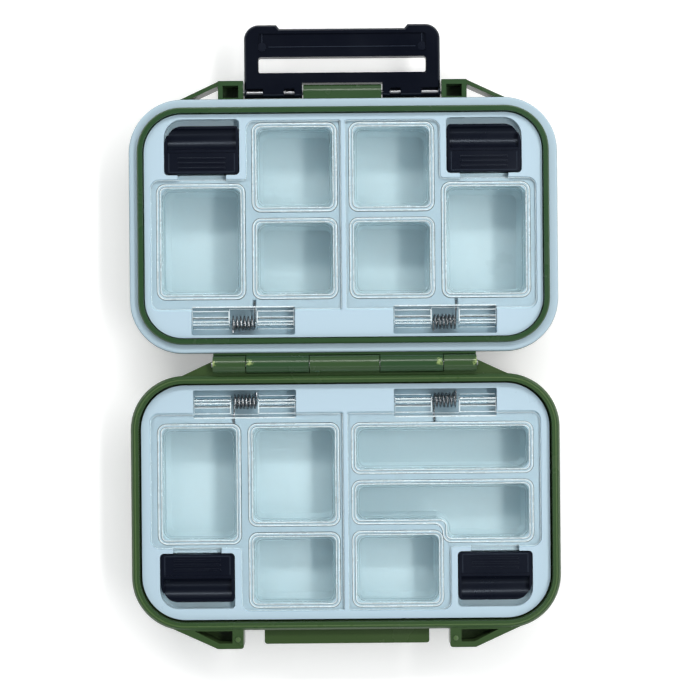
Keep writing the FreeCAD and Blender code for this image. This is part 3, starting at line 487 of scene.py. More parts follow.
# %% Mix a plastic
PLASTIC_IOR = 1.5


def place_group(tree, group, values):
    """A node group in a material, with its values set, and what comes out of it."""
    node = tree.nodes.new("ShaderNodeGroup")
    node.node_tree = group
    for label, value in values.items():
        feed(tree, node.inputs[label], value)
    return node.outputs


def coloured(tree, shader, colour, shade, amount, gloss, scale=40.0):
    """Gives a shader a colour that drifts towards a second one, and a roughness that drifts too."""
    values = {
        "Color": (*colour, 1),
        "Shade": (*shade, 1),
        "Amount": amount,
        "Scale": scale,
        "Gloss Low": gloss[0],
        "Gloss High": gloss[1],
    }
    drift = place_group(tree, DRIFT, values)
    tree.links.new(drift["Color"], shader.inputs["Base Color"])
    tree.links.new(drift["Roughness"], shader.inputs["Roughness"])


def skinned(tree, shader, grain, wave, wave_scale=120.0):
    """Gives a shader the skin of a moulding."""
    skin = place_group(tree, SKIN, {"Grain": grain, "Wave": wave, "Wave Scale": wave_scale})
    tree.links.new(skin["Normal"], shader.inputs["Normal"])


def moulded(name, colour, shade, amount, gloss, skin):
    """A moulded plastic with drifting colour and its own skin."""
    made, tree, shader = new_material(name)
    coloured(tree, shader, colour, shade, amount, gloss)
    skinned(tree, shader, *skin)
    shader.inputs["IOR"].default_value = PLASTIC_IOR
    return made, tree, shader


seal, _, _ = moulded(
    "seal_rubber", (0.45, 0.59, 0.68), (0.41, 0.55, 0.65), 0.5, (0.5, 0.62), (0.2, 0.5)
)
# Paler green for thin raised lines and caps: painted highlight, and wear
worn_green, _, _ = moulded(
    "worn_green_moulding", (0.085, 0.150, 0.052), (0.060, 0.115, 0.036), 0.8, (0.24, 0.36), (0.1, 0.5)
)
print(f"{seal.name} and {worn_green.name}")

# %% [markdown]
# The shells are more olive below their rims, and pale where the main hinge rubs. A tray is painted lighter
# just under its lids, as painted light for what the lids take away, greyer deep in its wells and darker low
# in the bays of the lids' hinges, both as painted shade. Each of these is a second colour over the plastic's
# own, with the mask of a group for depth, painted bay shade or wear.

# %% Mix the greens
SHELL_RIM = 23.9 * MM
# From where to where under the rim the green turns olive
UNDER_RIM = (0.2 * MM, 1.2 * MM)
RUBBED_GREEN = (0.30, 0.40, 0.15)


def tinted(tree, shader, mask, tint):
    """Mixes a second colour over a material's own where a mask says."""
    own = shader.inputs["Base Color"].links[0].from_socket
    tree.links.new(mixed(tree, mask, own, (*tint, 1)), shader.inputs["Base Color"])


def below(tree, top, reach):
    """A mask for what lies under a level, from where it starts under it to where it is full."""
    return place_group(tree, DEPTH, {"Top": top, "Start": reach[0], "End": reach[1]})["Mask"]


def shell_plastic(name, colour, shade, low):
    """Green moulding that is more olive lower down, and rubbed pale at the hinge's knuckles."""
    made, tree, shader = moulded(name, colour, shade, 0.6, (0.2, 0.3), (0.1, 0.5))
    tinted(tree, shader, below(tree, SHELL_RIM, UNDER_RIM), low)
    for across in KNUCKLE_ENDS:
        scuff = place_group(tree, SCUFF, {"Across": across})
        tinted(tree, shader, scuff["Mask"], RUBBED_GREEN)
    return made


base_green = shell_plastic(
    "base_green_moulding", (0.042, 0.090, 0.031), (0.032, 0.072, 0.025), (0.043, 0.080, 0.026)
)
cover_green = shell_plastic(
    "cover_green_moulding", (0.030, 0.079, 0.029), (0.024, 0.065, 0.024), (0.034, 0.076, 0.028)
)
print(f"{base_green.name} and {cover_green.name}")

# %% Mix the pale plastics
# From where to where under a tray's top each of its colours comes in
UNDER_LIDS = (1.2 * MM, 1.5 * MM)
DEEP_IN_WELLS = (2.5 * MM, 8 * MM)
LOW_IN_BAYS = (1.8 * MM, 3.4 * MM)
# The top of each tray, and the middle of its hinge bays along Y
BASE_TRAY = (21.0 * MM, 36.8 * MM)
COVER_TRAY = (24.4 * MM, 67.8 * MM)


def tray_plastic(name, top, bays):
    """Pale moulding, with painted light under the lids and painted shade in the wells and the hinge bays."""
    made, tree, shader = moulded(
        name, (0.53, 0.69, 0.80), (0.49, 0.65, 0.77), 0.5, (0.26, 0.38), (0.06, 0.4)
    )
    # Painted light: lighter just under the lids, for what the lids take away
    tinted(tree, shader, below(tree, top, UNDER_LIDS), (0.58, 0.74, 0.82))
    # Painted shade: greyer deep in the wells
    tinted(tree, shader, below(tree, top, DEEP_IN_WELLS), (0.50, 0.625, 0.665))
    # Painted shade: darker low in the lids' hinge bays, under their arms
    grime = place_group(tree, GRIME, {"Depth": below(tree, top, LOW_IN_BAYS), "Along": bays})
    tinted(tree, shader, grime["Mask"], (0.27, 0.375, 0.435))
    return made


base_pale = tray_plastic("base_pale_moulding", *BASE_TRAY)
cover_pale = tray_plastic("cover_pale_moulding", *COVER_TRAY)
print(f"{base_pale.name} and {cover_pale.name}")

# %% Mix the blacks


def black_plastic(name, colour, shade, amount, gloss, skin):
    """Black moulding, of which little shows but what it mirrors, faintly and a little blue."""
    made, _, shader = moulded(name, colour, shade, amount, gloss, skin)
    shader.inputs["Specular IOR Level"].default_value = 0.33
    shader.inputs["Specular Tint"].default_value = (0.72, 0.84, 1, 1)
    return made


black = black_plastic(
    "black_moulding", (0.003, 0.0045, 0.011), (0.005, 0.006, 0.013), 0.6, (0.24, 0.36), (0.12, 0.5)
)
# Paler black for thin raised lines: painted highlight
worn_black = black_plastic(
    "worn_black_moulding", (0.030, 0.038, 0.055), (0.016, 0.022, 0.034), 0.8, (0.24, 0.36), (0.12, 0.5)
)
grip_black = black_plastic(
    "grip_black_moulding", (0.0022, 0.0032, 0.008), (0.0035, 0.0045, 0.01), 0.6, (0.16, 0.28), (0.1, 0.5)
)
print(f"{black.name}, {worn_black.name} and {grip_black.name}")

# %% [markdown]
# The lids are clear polystyrene, a colourless plastic that bends light much as glass does, with a faint
# waviness from the mould. Cycles would treat them as opaque to the lamps' direct light, and the wells would
# go dark. So to a shadow ray the lid is transparent, nearly as the real one is. Where the mould has left an
# edge, the light that runs inside the sheet comes out scattered, and the edge looks white. Beside it a steep
# face shows only the dark of the room. Both are painted on: a near-white plastic paints the white as painted
# highlight, and a dark, half-clear one paints the dark as painted reflection. The clear plastic itself is
# painted darker where a face turns away, as painted shade.

# %% Mix the clear plastics
# How far a face is turned away, and the colour of what comes through it there: painted shade
EDGE_STEPS = ((0.02, (1, 1, 1, 1)), (0.08, (0.72, 0.8, 0.83, 1)), (0.35, (0.22, 0.3, 0.34, 1)))


def see_through(name, weight):
    """A plastic that is clear by a weight, and lets all of the lamps' direct light pass."""
    made, tree, shader = new_material(name)
    shader.inputs["Transmission Weight"].default_value = weight
    shader.inputs["IOR"].default_value = PLASTIC_IOR
    through = tree.nodes.new("ShaderNodeBsdfTransparent")
    through.inputs["Color"].default_value = (1, 1, 1, 1)
    rays = tree.nodes.new("ShaderNodeLightPath")
    either = tree.nodes.new("ShaderNodeMixShader")
    tree.links.new(rays.outputs["Is Shadow Ray"], either.inputs["Fac"])
    tree.links.new(shader.outputs["BSDF"], either.inputs[1])
    tree.links.new(through.outputs["BSDF"], either.inputs[2])
    tree.links.new(either.outputs["Shader"], tree.nodes["Material Output"].inputs["Surface"])
    return made, tree, shader


def clear_plastic():
    """The lids' plastic, painted darker where a face turns away, as painted shade."""
    made, tree, shader = see_through("clear_moulding", 1)
    drift = place_group(tree, DRIFT, {"Gloss Low": 0.02, "Gloss High": 0.07, "Scale": 60})
    tree.links.new(drift["Roughness"], shader.inputs["Roughness"])
    skinned(tree, shader, 0.01, 0.8, 90.0)
    turned = tree.nodes.new("ShaderNodeLayerWeight")
    turned.inputs["Blend"].default_value = 0.5
    tree.links.new(ramp(tree, turned.outputs["Facing"], EDGE_STEPS), shader.inputs["Base Color"])
    return made


def frosted_plastic():
    """Near-white plastic that paints the white of an edge that scatters the light, as painted highlight."""
    made, tree, shader = see_through("frosted_edge", 0.2)
    coloured(tree, shader, (0.94, 0.99, 1.0), (0.62, 0.76, 0.82), 0.6, (0.15, 0.4), 260)
    skinned(tree, shader, 0.1, 0.8, 160.0)
    return made


def smoky_plastic():
    """Dark, half-clear plastic that paints the dark that a steep edge shows, as painted reflection."""
    made, tree, shader = see_through("smoky_edge", 0.5)
    coloured(tree, shader, (0.08, 0.13, 0.16), (0.34, 0.44, 0.48), 0.9, (0.1, 0.2), 200)
    return made


clear = clear_plastic()
frosted = frosted_plastic()
smoky = smoky_plastic()
print(f"{clear.name}, {frosted.name} and {smoky.name}")

# %% Draw the steel


def drawn_steel(name, colour, shade, gloss, scale):
    """Drawn steel of one brightness."""
    made, tree, shader = new_material(name)
    coloured(tree, shader, colour, shade, 0.8, gloss, scale)
    shader.inputs["Metallic"].default_value = 1
    return made


steel = drawn_steel("drawn_steel", (0.30, 0.31, 0.32), (0.12, 0.13, 0.14), (0.2, 0.36), 700.0)
pin_steel = drawn_steel("pin_steel", (0.50, 0.51, 0.53), (0.38, 0.39, 0.41), (0.3, 0.42), 150.0)
print(f"{steel.name} for the springs and {pin_steel.name} for the pins")

# %% [markdown]
# ## Edges that are a little round
#
# A mould can't make a knife edge, and it is the thin highlight along each edge that shows what a plastic part
# is. The solids have sharp edges, so each moulded one is copied, its triangles are joined into whole faces,
# and its sharp edges are bevelled. The copy stands for the solid, on the same body and in the same place. A
# Bevel modifier would do the same, but the operator lets us see what came of it at once. A Weighted Normal
# modifier then keeps the big faces flat to the eye: without it their shading bends towards every round edge.

# %% Round the edges
SHARP = math.radians(32)
FLAT = math.radians(0.4)
WELD = 0.002 * MM
UPPER_EDGE = 0.5 * MM


def joined_copy(node):
    """A solid's mesh with its triangles joined into whole faces."""
    shape = bmesh.new()
    shape.from_mesh(frame["nodes"][node].data)
    bmesh.ops.remove_doubles(shape, verts=shape.verts, dist=WELD)
    bmesh.ops.dissolve_limit(
        shape, angle_limit=FLAT, use_dissolve_boundaries=False, verts=shape.verts, edges=shape.edges
    )
    return shape


def is_sharp(edge):
    """Whether the two faces of an edge meet at an angle that shows."""
    return len(edge.link_faces) == 2 and edge.calc_face_angle() > SHARP


def round_off(shape, parts, width, steps, affect="EDGES"):
    """Bevels some edges or corners of a bmesh, by a width in millimetres."""
    return bmesh.ops.bevel(
        shape,
        geom=parts,
        offset=width * MM,
        offset_type="OFFSET",
        affect=affect,
        segments=steps,
        profile=0.5,
        material=-1,
        clamp_overlap=True,
    )


def shade(shape):
    """Smooth faces, with the edges that are still sharp marked."""
    for face in shape.faces:
        face.smooth = True
    for edge in shape.edges:
        edge.smooth = not is_sharp(edge)


def new_piece(name, shape, paint, body):
    """A finished piece of the box that rides on a body, with its large faces flat to the eye."""
    shade(shape)
    piece = link(name, mesh_from(name, shape))
    piece.data.materials.append(paint)
    even = piece.modifiers.new("even_faces", "WEIGHTED_NORMAL")
    even.keep_sharp = True
    even.weight = 100
    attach(piece, body)
    return piece


def rounded(node, width, paint, steps=2, edge_paint=None):
    """A copy of a solid with round edges, which stands for it. Its upper edges may take a painted highlight.
    """
    shape = joined_copy(node)
    edges = [e for e in shape.edges if is_sharp(e)]
    made = round_off(shape, edges, width, steps)
    if edge_paint:
        crest = max(v.co.z for v in shape.verts) - UPPER_EDGE
        for face in made["faces"]:
            face.material_index = int(face.calc_center_median().z > crest)
    piece = new_piece(node + "_dressed", shape, paint, frame["nodes"][node]["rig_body"])
    if edge_paint:
        piece.data.materials.append(edge_paint)
    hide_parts(node)
    print(f"{node}: {len(edges)} edges rounded, {len(piece.data.polygons)} faces")


for node, width, paint, slot in (
    ("base_shell", 0.25, base_green, "green_plastic"),
    ("cover_shell", 0.25, cover_green, "green_plastic"),
    ("cover_gasket", 0.2, seal, "gasket_rubber"),
    ("carry_handle", 0.25, grip_black, "black_plastic"),
    ("base_tray", 0.35, base_pale, "tray_plastic"),
    ("cover_tray", 0.35, cover_pale, "tray_plastic"),
):
    rounded(node, width, paint)

# %% Round the lids and the buttons
HALVES = ("base", "cover")
# Each side of the box, and which way along X it lies
SIDES = {"left": -1, "right": 1}
LID_EDGE = 0.32
BUTTON_EDGE = 0.3

for half in HALVES:
    for side in SIDES:
        # The lids' upper edges are painted white, as painted highlight
        rounded(f"{half}_lid_{side}", LID_EDGE, clear, edge_paint=frosted)
        rounded(f"{half}_button_{side}", BUTTON_EDGE, black, steps=3)

# %% [markdown]
# ## Beads round the wells
#
# Each lid carries a raised bead over the edge of every well. Clear plastic is seen by its edges: each side of
# the bead bends the light and draws a dark line, and the crest beside it scatters the light and draws a white
# one. These double outlines are what the eye takes for a lid. A bead starts as one flat face with the well's
# corners. Bevelling its vertices rounds the corners, an inset leaves a ring, and the ring is extruded and its
# upper edges are bevelled. The two white crests, painted highlight, and the dark line at the root of each,
# painted reflection, are narrow rings made the same way, on top of the wide one.

# %% Lay out the wells
LID_TOPS = {"base": 20.9, "cover": 24.3}
BEAD_LIFT = 0.02
# The roots are dark, as painted reflection, and the crests white, as painted highlight
# Name of each ring, how far out of the well's edge it starts, its width, height and bevel, and its plastic
BEAD_PARTS = (
    ("beads", (1.5, 1.9, 0.5, 0.4), clear),
    ("outer_roots", (1.4, 0.22, 0.6, 0.06), smoky),
    ("outer_crests", (1.18, 0.4, 0.66, 0.14), frosted),
    ("inner_roots", (0.2, 0.2, 0.6, 0.06), smoky),
    ("inner_crests", (0.0, 0.34, 0.66, 0.12), frosted),
)


def box_corners(left, right, low, high):
    """The corners of an upright rectangle, counterclockwise."""
    return [(left, low), (right, low), (right, high), (left, high)]


BENT_WELL = [(3.5, -7.4), (37.4, -7.4), (37.4, -14.4), (69, -14.4), (69, 6.6), (3.5, 6.6)]
COVER_WELLS = ((37.8, 68.2, 77.1, 117.6), (3.5, 32.6, 77.1, 104.6), (3.5, 32.6, 109.5, 140.1))
WELLS = {
    "base_lid_left": [
        box_corners(-69, -40.4, -14.4, 28.2),
        box_corners(-35.1, -3.5, -7.8, 28.2),
        box_corners(-35.1, -3.5, -38.3, -12.7),
    ],
    "base_lid_right": [
        box_corners(3.5, 69, 11.5, 28.2),
        BENT_WELL,
        box_corners(3.5, 35.1, -38.3, -12.3),
    ],
    "cover_lid_left": [box_corners(-far, -near, low, high) for near, far, low, high in COVER_WELLS],
    "cover_lid_right": [box_corners(*well) for well in COVER_WELLS],
}
print(f"{sum(len(wells) for wells in WELLS.values())} wells under {len(WELLS)} lids")

# %% Mould the beads
CORNER = 2.0
# A corner is bevelled in this many steps, and in so many more for each millimetre of its radius
CORNER_STEPS = 5
STEPS_PER_MM = 0.5
CREST_STEPS = 3


def grown(corners, by):
    """A level outline with square corners, with every side moved out."""
    result = []
    for number, (x, y) in enumerate(corners):
        before = Vector(corners[number - 1])
        after = Vector(corners[(number + 1) % len(corners)])
        come = (Vector((x, y)) - before).normalized()
        go = (after - Vector((x, y))).normalized()
        result.append((x + by * (come.y + go.y), y - by * (come.x + go.x)))
    return result


def move_new(shape, made, way):
    """Moves the vertices that an operator made."""
    verts = [g for g in made["geom"] if isinstance(g, bmesh.types.BMVert)]
    bmesh.ops.translate(shape, verts=verts, vec=way)


def raise_faces(shape, faces, height):
    """Extrudes some level faces of a bmesh upwards."""
    raised = bmesh.ops.extrude_face_region(shape, geom=faces)
    move_new(shape, raised, (0, 0, height * MM))


def bead_ring(shape, corners, level, out, width, height, corner):
    """Adds one closed bead along an outline to a bmesh."""
    before = set(shape.verts)
    places = [shape.verts.new((x * MM, y * MM, level * MM)) for x, y in grown(corners, out)]
    shape.faces.new(places)
    round_off(shape, places, corner + out, round(CORNER_STEPS + corner * STEPS_PER_MM), "VERTICES")
    sheet = next(f for v in shape.verts if v not in before for f in v.link_faces)
    bmesh.ops.inset_region(
        shape, faces=[sheet], thickness=width * MM, use_even_offset=True, use_boundary=True
    )
    bmesh.ops.delete(shape, geom=[sheet], context="FACES_ONLY")
    ring = [f for f in shape.faces if not any(v in before for v in f.verts)]
    raise_faces(shape, ring, height)


def add_beads(name, outlines, level, bead, paint, body, corner=CORNER):
    """One piece with a bead along each of some outlines."""
    out, width, height, bevel = bead
    shape = bmesh.new()
    for corners in outlines:
        bead_ring(shape, corners, level, out, width, height, corner)
    bmesh.ops.recalc_face_normals(shape, faces=shape.faces)
    above = (level + height / 2) * MM
    rims = [e for e in shape.edges if is_sharp(e) and all(v.co.z > above for v in e.verts)]
    round_off(shape, rims, bevel, CREST_STEPS)
    piece = new_piece(name, shape, paint, body)
    print(f"{name}: {len(piece.data.polygons)} faces")


for node, wells in WELLS.items():
    level = LID_TOPS[node.split("_")[0]] + BEAD_LIFT
    for part, bead, paint in BEAD_PARTS:
        add_beads(f"{node}_{part}", wells, level, bead, paint, node)

# %% [markdown]
# ## Ribs on the hinge arms
#
# The two arms of a lid are thin, and ribs along their tops stiffen them. The ribs are painted white, as
# painted highlight, and are seen as white lines across the hinge bay. A bar along the edge of the lid's
# plate paints the highlight of the tray's bay edge below it. Each is a cube, scaled to a thin bar and
# bevelled.

# %% Add the ribs
HINGE_X = 37.6
# Along Y and Z, the axis of each half's lids, and which way along Y leads from their plates to it
LID_HINGES = {"base": (37.6, 18.6, 1), "cover": (67.0, 22.0, -1)}
ARM_START = 5.15
ARM_STOP = 18.9
ARM_TOP = 2.3
ARM_MARGIN = 0.4
# How far each rib lies from the lid's axis towards the plate and above it, its width and its height
ARM_RIBS = (
    (-2.1, 0.85, 0.3, 0.3),
    (-0.55, ARM_TOP, 0.36, 0.5),
    (0.55, ARM_TOP, 0.42, 0.5),
    (2.2, ARM_TOP, 0.3, 0.4),
    (4.4, ARM_TOP, 0.3, 0.4),
)
# A bar along the plate's edge, painted white: painted highlight of the tray's bay edge below it
EDGE_RIB = (6.0, ARM_TOP, 0.45, 0.5)
# The rib along Y that closes each arm beside the spring: how far in from the arm's start, how far from the
# axis, and its size
CLOSING_RIB_IN = 0.15
CLOSING_RIB_OFF = 2.2
CLOSING_RIB_SIZE = (0.3, 4.4, 0.4)
RIB_BEVEL = 0.1


def add_bar(shape, middle, size):
    """Adds one bar to a bmesh."""
    place = Matrix.Translation(Vector(middle) * MM)
    bmesh.ops.create_cube(shape, size=1, matrix=place @ Matrix.Diagonal((*(Vector(size) * MM), 1)))


def soften(shape, width, steps=2):
    """Rounds every edge of a bmesh of bars."""
    round_off(shape, shape.edges[:], width, steps)


def arm_ribs(hinge_x, hinge_y, hinge_z, way):
    """The ribs of one lid, on both its arms, and the bar of painted highlight along the edge of its plate."""
    ribs = bmesh.new()
    arm_middle = (ARM_START + ARM_STOP) / 2
    for end in (-1, 1):
        x = hinge_x + arm_middle * end
        for off, rise, width, height in ARM_RIBS:
            middle = (x, hinge_y - off * way, hinge_z + rise)
            add_bar(ribs, middle, (ARM_STOP - ARM_START - ARM_MARGIN, width, height))
        x = hinge_x + (ARM_START + CLOSING_RIB_IN) * end
        add_bar(ribs, (x, hinge_y - CLOSING_RIB_OFF * way, hinge_z + ARM_TOP), CLOSING_RIB_SIZE)
    off, rise, width, height = EDGE_RIB
    add_bar(ribs, (hinge_x, hinge_y - off * way, hinge_z + rise), (ARM_STOP * 2, width, height))
    soften(ribs, RIB_BEVEL)
    return ribs


for half, (hinge_y, hinge_z, way) in LID_HINGES.items():
    for side, sign in SIDES.items():
        ribs = arm_ribs(HINGE_X * sign, hinge_y, hinge_z, way)
        # Ribs and bar are painted white, as painted highlight
        new_piece(f"{half}_arm_ribs_{side}", ribs, frosted, f"{half}_lid_{side}")
print(f"{len(ARM_RIBS)} ribs along each of eight arms")

# %% [markdown]
# ## Wound springs
#
# A torsion spring sits between the two barrels of each lid and throws the lid open when its button is pushed.
# Spinning a small circle round an axis while it moves along it winds the coil, and its two open ends are
# extruded into straight legs. One leg lies under the lid and one on the floor of the hinge bay. The small
# springs behind the buttons ride on their half of the box.

# %% Wind a coil
STEPS_PER_TURN = 24
WIRE_SIDES = 10


def coil(radius, wire, first, turns, length):
    """A coil of round wire along X, centred on the origin, with open ends. It starts at an angle."""
    shape = bmesh.new()
    bmesh.ops.create_circle(shape, cap_ends=False, segments=WIRE_SIDES, radius=wire * MM)
    outward = Vector((0, math.cos(first), math.sin(first)))
    onward = Vector((0, -math.sin(first), math.cos(first)))
    facing = Matrix((Vector((1, 0, 0)), outward, onward)).transposed().to_4x4()
    start = Vector((-length * MM / 2, 0, 0)) + outward * (radius * MM)
    bmesh.ops.transform(shape, matrix=Matrix.Translation(start) @ facing, verts=shape.verts)
    steps = round(turns * STEPS_PER_TURN)
    bmesh.ops.spin(
        shape,
        geom=shape.verts[:] + shape.edges[:],
        cent=(0, 0, 0),
        axis=(1, 0, 0),
        dvec=(length * MM / steps, 0, 0),
        angle=turns * math.tau,
        steps=steps,
    )
    return shape


def open_edges(shape):
    """The edges of a wire's open ends."""
    return [e for e in shape.edges if len(e.link_faces) == 1]


def close_ends(shape):
    """Caps the open ends of a wire and turns its faces outwards."""
    bmesh.ops.holes_fill(shape, edges=open_edges(shape), sides=0)
    bmesh.ops.recalc_face_normals(shape, faces=shape.faces)


def set_spring(node, wire, place):
    """Puts a finished wire in its place, where it stands for a spring's solid."""
    bmesh.ops.transform(wire, matrix=place, verts=wire.verts)
    shade(wire)
    spring = link(node + "_wound", mesh_from(node + "_wound", wire))
    spring.data.materials.append(steel)
    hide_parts(node)
    return spring


print(f"{STEPS_PER_TURN} steps in each turn of a wire with {WIRE_SIDES} sides")

# %% Set the lid springs
COIL_RADIUS = 2.5
COIL_WIRE = 0.35
COIL_LENGTH = 8.4
WHOLE_TURNS = 6
# How far from the axis, towards the plate and up, the leg under the lid ends
LEG_REACH = 8.0
LEG_RISE = 0.4
TAIL = 3.4

distance = math.hypot(LEG_REACH, LEG_RISE)
first_angle = math.pi - math.atan2(LEG_RISE, LEG_REACH) + math.acos(COIL_RADIUS / distance)
coil_turns = WHOLE_TURNS + (1.5 * math.pi - first_angle) / math.tau
leg_length = math.sqrt(distance**2 - COIL_RADIUS**2)
leg_way = Vector((0, math.sin(first_angle), -math.cos(first_angle)))
print(f"{coil_turns:.2f} turns, a leg of {leg_length:.1f} mm")


def along_x(edge):
    """An edge's place along X, doubled, to sort edges by."""
    return edge.verts[0].co.x + edge.verts[1].co.x


def add_leg(shape, edges, way):
    """Extrudes one open end into a straight leg."""
    move_new(shape, bmesh.ops.extrude_edge_only(shape, edges=edges), way)


for half, (hinge_y, hinge_z, way) in LID_HINGES.items():
    for side, sign in SIDES.items():
        wire = coil(COIL_RADIUS, COIL_WIRE, first_angle, coil_turns, COIL_LENGTH)
        ends = sorted(open_edges(wire), key=along_x)
        add_leg(wire, ends[:WIRE_SIDES], leg_way * leg_length * MM)
        add_leg(wire, ends[-WIRE_SIDES:], Vector((0, TAIL * MM, 0)))
        close_ends(wire)
        place = Vector((HINGE_X * sign, hinge_y, hinge_z)) * MM
        turn = Matrix.Rotation(0 if way > 0 else math.pi, 4, "Z")
        spring = set_spring(f"{half}_lid_spring_{side}", wire, Matrix.Translation(place) @ turn)
        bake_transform(spring)
print("four torsion springs")

# %% Set the button springs
# How far out along X each half's buttons lie, the middle of the half along Y, and which way along Y its
# buttons are pushed by their springs
BUTTONS = {"base": (55.75, 0.0, 1), "cover": (52.55, 103.2, -1)}
SPRING_HEIGHTS = {"base": 15.7, "cover": 19.1}
SPRING_RADIUS = 1.5
SPRING_WIRE = 0.25
SPRING_TURNS = 4
SPRING_NEAR = 23.1
SPRING_LENGTH = 10.6

for half, (button_x, centre_y, way) in BUTTONS.items():
    for side, sign in SIDES.items():
        wire = coil(SPRING_RADIUS, SPRING_WIRE, 0, SPRING_TURNS, SPRING_LENGTH - SPRING_WIRE * 2)
        close_ends(wire)
        spring_z = SPRING_HEIGHTS[half]
        middle = centre_y - (SPRING_NEAR + SPRING_LENGTH / 2) * way
        place = Matrix.Translation(Vector((button_x * sign, middle, spring_z)) * MM)
        turn = Matrix.Rotation(math.pi / 2, 4, "Z")
        spring = set_spring(f"{half}_button_spring_{side}", wire, place @ turn)
        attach(spring, half)
        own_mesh(spring)
print("four compression springs")

# %% [markdown]
# ## Grips on the buttons
#
# The flat part of a button needs something for a fingertip to hold. A few low bars across the way that it
# slides do that, and say nothing. All bars of one button are cubes in one mesh, scaled, moved and bevelled
# together. A hair's breadth of raised edging runs round three sides of the flat, painted a little paler than
# the rest as painted highlight.

# %% Shape the grips and the edging
BARS = 3
BAR_PITCH = 1.8
BAR_WIDTH = 0.8
BAR_LENGTH = 17.6
BAR_HEIGHT = 0.3
BAR_BEVEL = 0.14
BAR_MIDDLE = 23.3
EDGING_X = 12.2
EDGING_Y = 23.6
EDGING_LENGTH = 7.0
EDGING_WIDTH = 0.3
EDGING_HEIGHT = 0.16
# Every thin line on black plastic has this bevel
LINE_BEVEL = 0.06


def grip_bars(x, centre_y, way, top):
    """The bars of one button, half sunk into its flat."""
    grips = bmesh.new()
    for number in range(BARS):
        y = centre_y - BAR_MIDDLE * way + (number - (BARS - 1) / 2) * BAR_PITCH
        add_bar(grips, (x, y, top), (BAR_LENGTH, BAR_WIDTH, BAR_HEIGHT * 2))
    soften(grips, BAR_BEVEL)
    return grips


def button_edging(x, centre_y, way, top):
    """The line round three sides of one button's flat."""
    edging = bmesh.new()
    for end in (-1, 1):
        middle = (x + EDGING_X * end, centre_y - EDGING_Y * way, top)
        add_bar(edging, middle, (EDGING_WIDTH, EDGING_LENGTH, EDGING_HEIGHT))
    y = centre_y - (EDGING_Y - EDGING_LENGTH / 2) * way
    add_bar(edging, (x, y, top), (EDGING_X * 2, EDGING_WIDTH, EDGING_HEIGHT))
    soften(edging, LINE_BEVEL, 1)
    return edging


print(f"{BARS} bars of {BAR_LENGTH} mm, and an edging of {EDGING_X * 2} by {EDGING_LENGTH} mm")

# %% Add them to the buttons
BUTTON_TOPS = {"base": 21.3, "cover": 24.7}

for half, (button_x, centre_y, way) in BUTTONS.items():
    for side, sign in SIDES.items():
        flat = (button_x * sign, centre_y, way, BUTTON_TOPS[half])
        body = f"{half}_button_{side}"
        new_piece(f"{half}_grips_{side}", grip_bars(*flat), black, body)
        # The edging is painted paler, as painted highlight
        new_piece(f"{half}_edging_{side}", button_edging(*flat), worn_black, body)
        print(f"{body}: bars and edging")

# %% [markdown]
# ## Lines on the rim, the ears and the handle
#
# The base's rim is not flat: a fine raised line runs round it, where the mould's two parts met. It is painted
# paler, as painted highlight and as wear from years of closing, and so are the caps of the low round bosses
# on the base's two ears. The handle has a rib down each side of its grip and a fine line along its foot,
# both painted paler as painted highlight, and a round mark at the foot of each rib, where the mould's
# ejector pins pushed it out.

# %% Draw the rim line
RIM_TOP = 23.85
RIM_SINK = 0.02
RIM_X = 80
RIM_Y = 47.5
RIM_CORNER = 20
# How far out of the rim's outline the line starts, its width, height and bevel
RIM_LINE = (-1.3, 0.5, 0.15, 0.06)

rim = [box_corners(-RIM_X, RIM_X, -RIM_Y, RIM_Y)]
rim_level = RIM_TOP - RIM_SINK
# The rim line is painted paler: painted highlight, and wear
add_beads("base_rim_line", rim, rim_level, RIM_LINE, worn_green, "base", RIM_CORNER)

# %% Cap the bosses on the ears
EAR_BOSS_X = 40.6
EAR_BOSS_Y = -51.0
BOSS_TOP = 23.8
BOSS_RADIUS = 0.95
BOSS_FLATNESS = 0.15

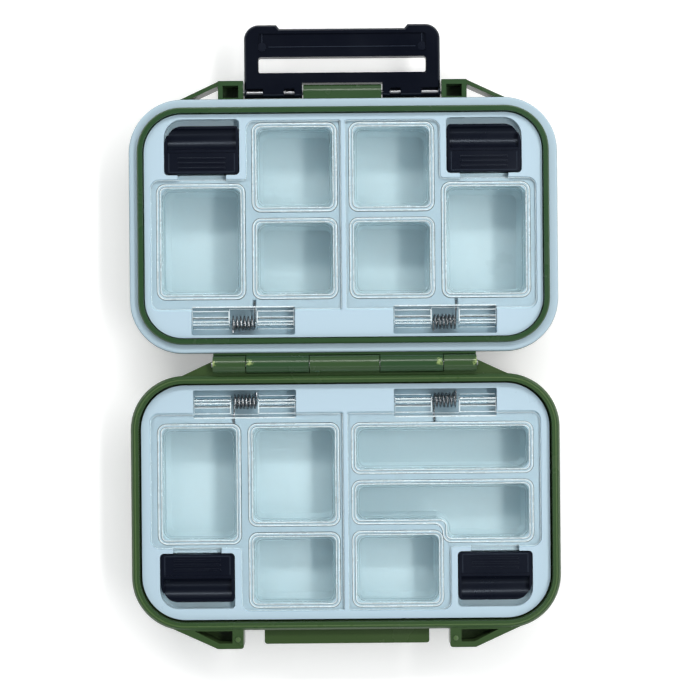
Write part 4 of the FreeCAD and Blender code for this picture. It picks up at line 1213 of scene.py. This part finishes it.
bosses = bmesh.new()
for end in (-1, 1):
    place = Matrix.Translation(Vector((EAR_BOSS_X * end, EAR_BOSS_Y, BOSS_TOP)) * MM)
    bmesh.ops.create_uvsphere(
        bosses,
        u_segments=24,
        v_segments=12,
        radius=BOSS_RADIUS * MM,
        matrix=place @ Matrix.Diagonal((1, 1, BOSS_FLATNESS, 1)),
    )
# The caps are painted paler: painted highlight, and wear
new_piece("ear_boss_caps", bosses, worn_green, "base")
print("two caps on the bosses")

# %% Draw the lines of the handle
GRIP_FLOOR = 21.5
MARK_X = 29.9
MARK_Y = 170.2
SIDE_RIB_Y = 174
SIDE_RIB_SIZE = (0.26, 4.4, 0.3)
FOOT_LINE_SIZE = (55, 0.25, 0.14)

handle_lines = bmesh.new()
for end in (-1, 1):
    add_bar(handle_lines, (MARK_X * end, SIDE_RIB_Y, GRIP_FLOOR), SIDE_RIB_SIZE)
add_bar(handle_lines, (0, MARK_Y, GRIP_FLOOR), FOOT_LINE_SIZE)
soften(handle_lines, LINE_BEVEL, 1)
# The ribs and line are painted paler, as painted highlight
new_piece("handle_lines", handle_lines, worn_black, "handle")
print("two ribs and a line on the handle")

# %% Press the marks of the handle
MARK_RADIUS = 1.6
MARK_LIFT = 0.02
MARK_HEIGHT = 0.12

handle_marks = bmesh.new()
for end in (-1, 1):
    place = Matrix.Translation(Vector((MARK_X * end, MARK_Y, GRIP_FLOOR + MARK_LIFT)) * MM)
    bmesh.ops.create_circle(
        handle_marks, cap_ends=True, segments=32, radius=MARK_RADIUS * MM, matrix=place
    )
raise_faces(handle_marks, handle_marks.faces[:], MARK_HEIGHT)
bmesh.ops.recalc_face_normals(handle_marks, faces=handle_marks.faces)
new_piece("handle_marks", handle_marks, black, "handle")
print("two round marks on the handle")

# %% [markdown]
# ## Pins
#
# The pins are already the right shape, so the solids stay and only get their material: steel for the main
# hinge and the handle, clear plastic for the lids.

# %% Give the pins their material
for node, item in frame["nodes"].items():
    if node.endswith("pin") or "_pin_" in node:
        item.data.materials.clear()
        item.data.materials.append(clear if "_lid_pin_" in node else pin_steel)
        for face in item.data.polygons:
            face.use_smooth = True
        print(f"{node}: {item.data.materials[0].name}")
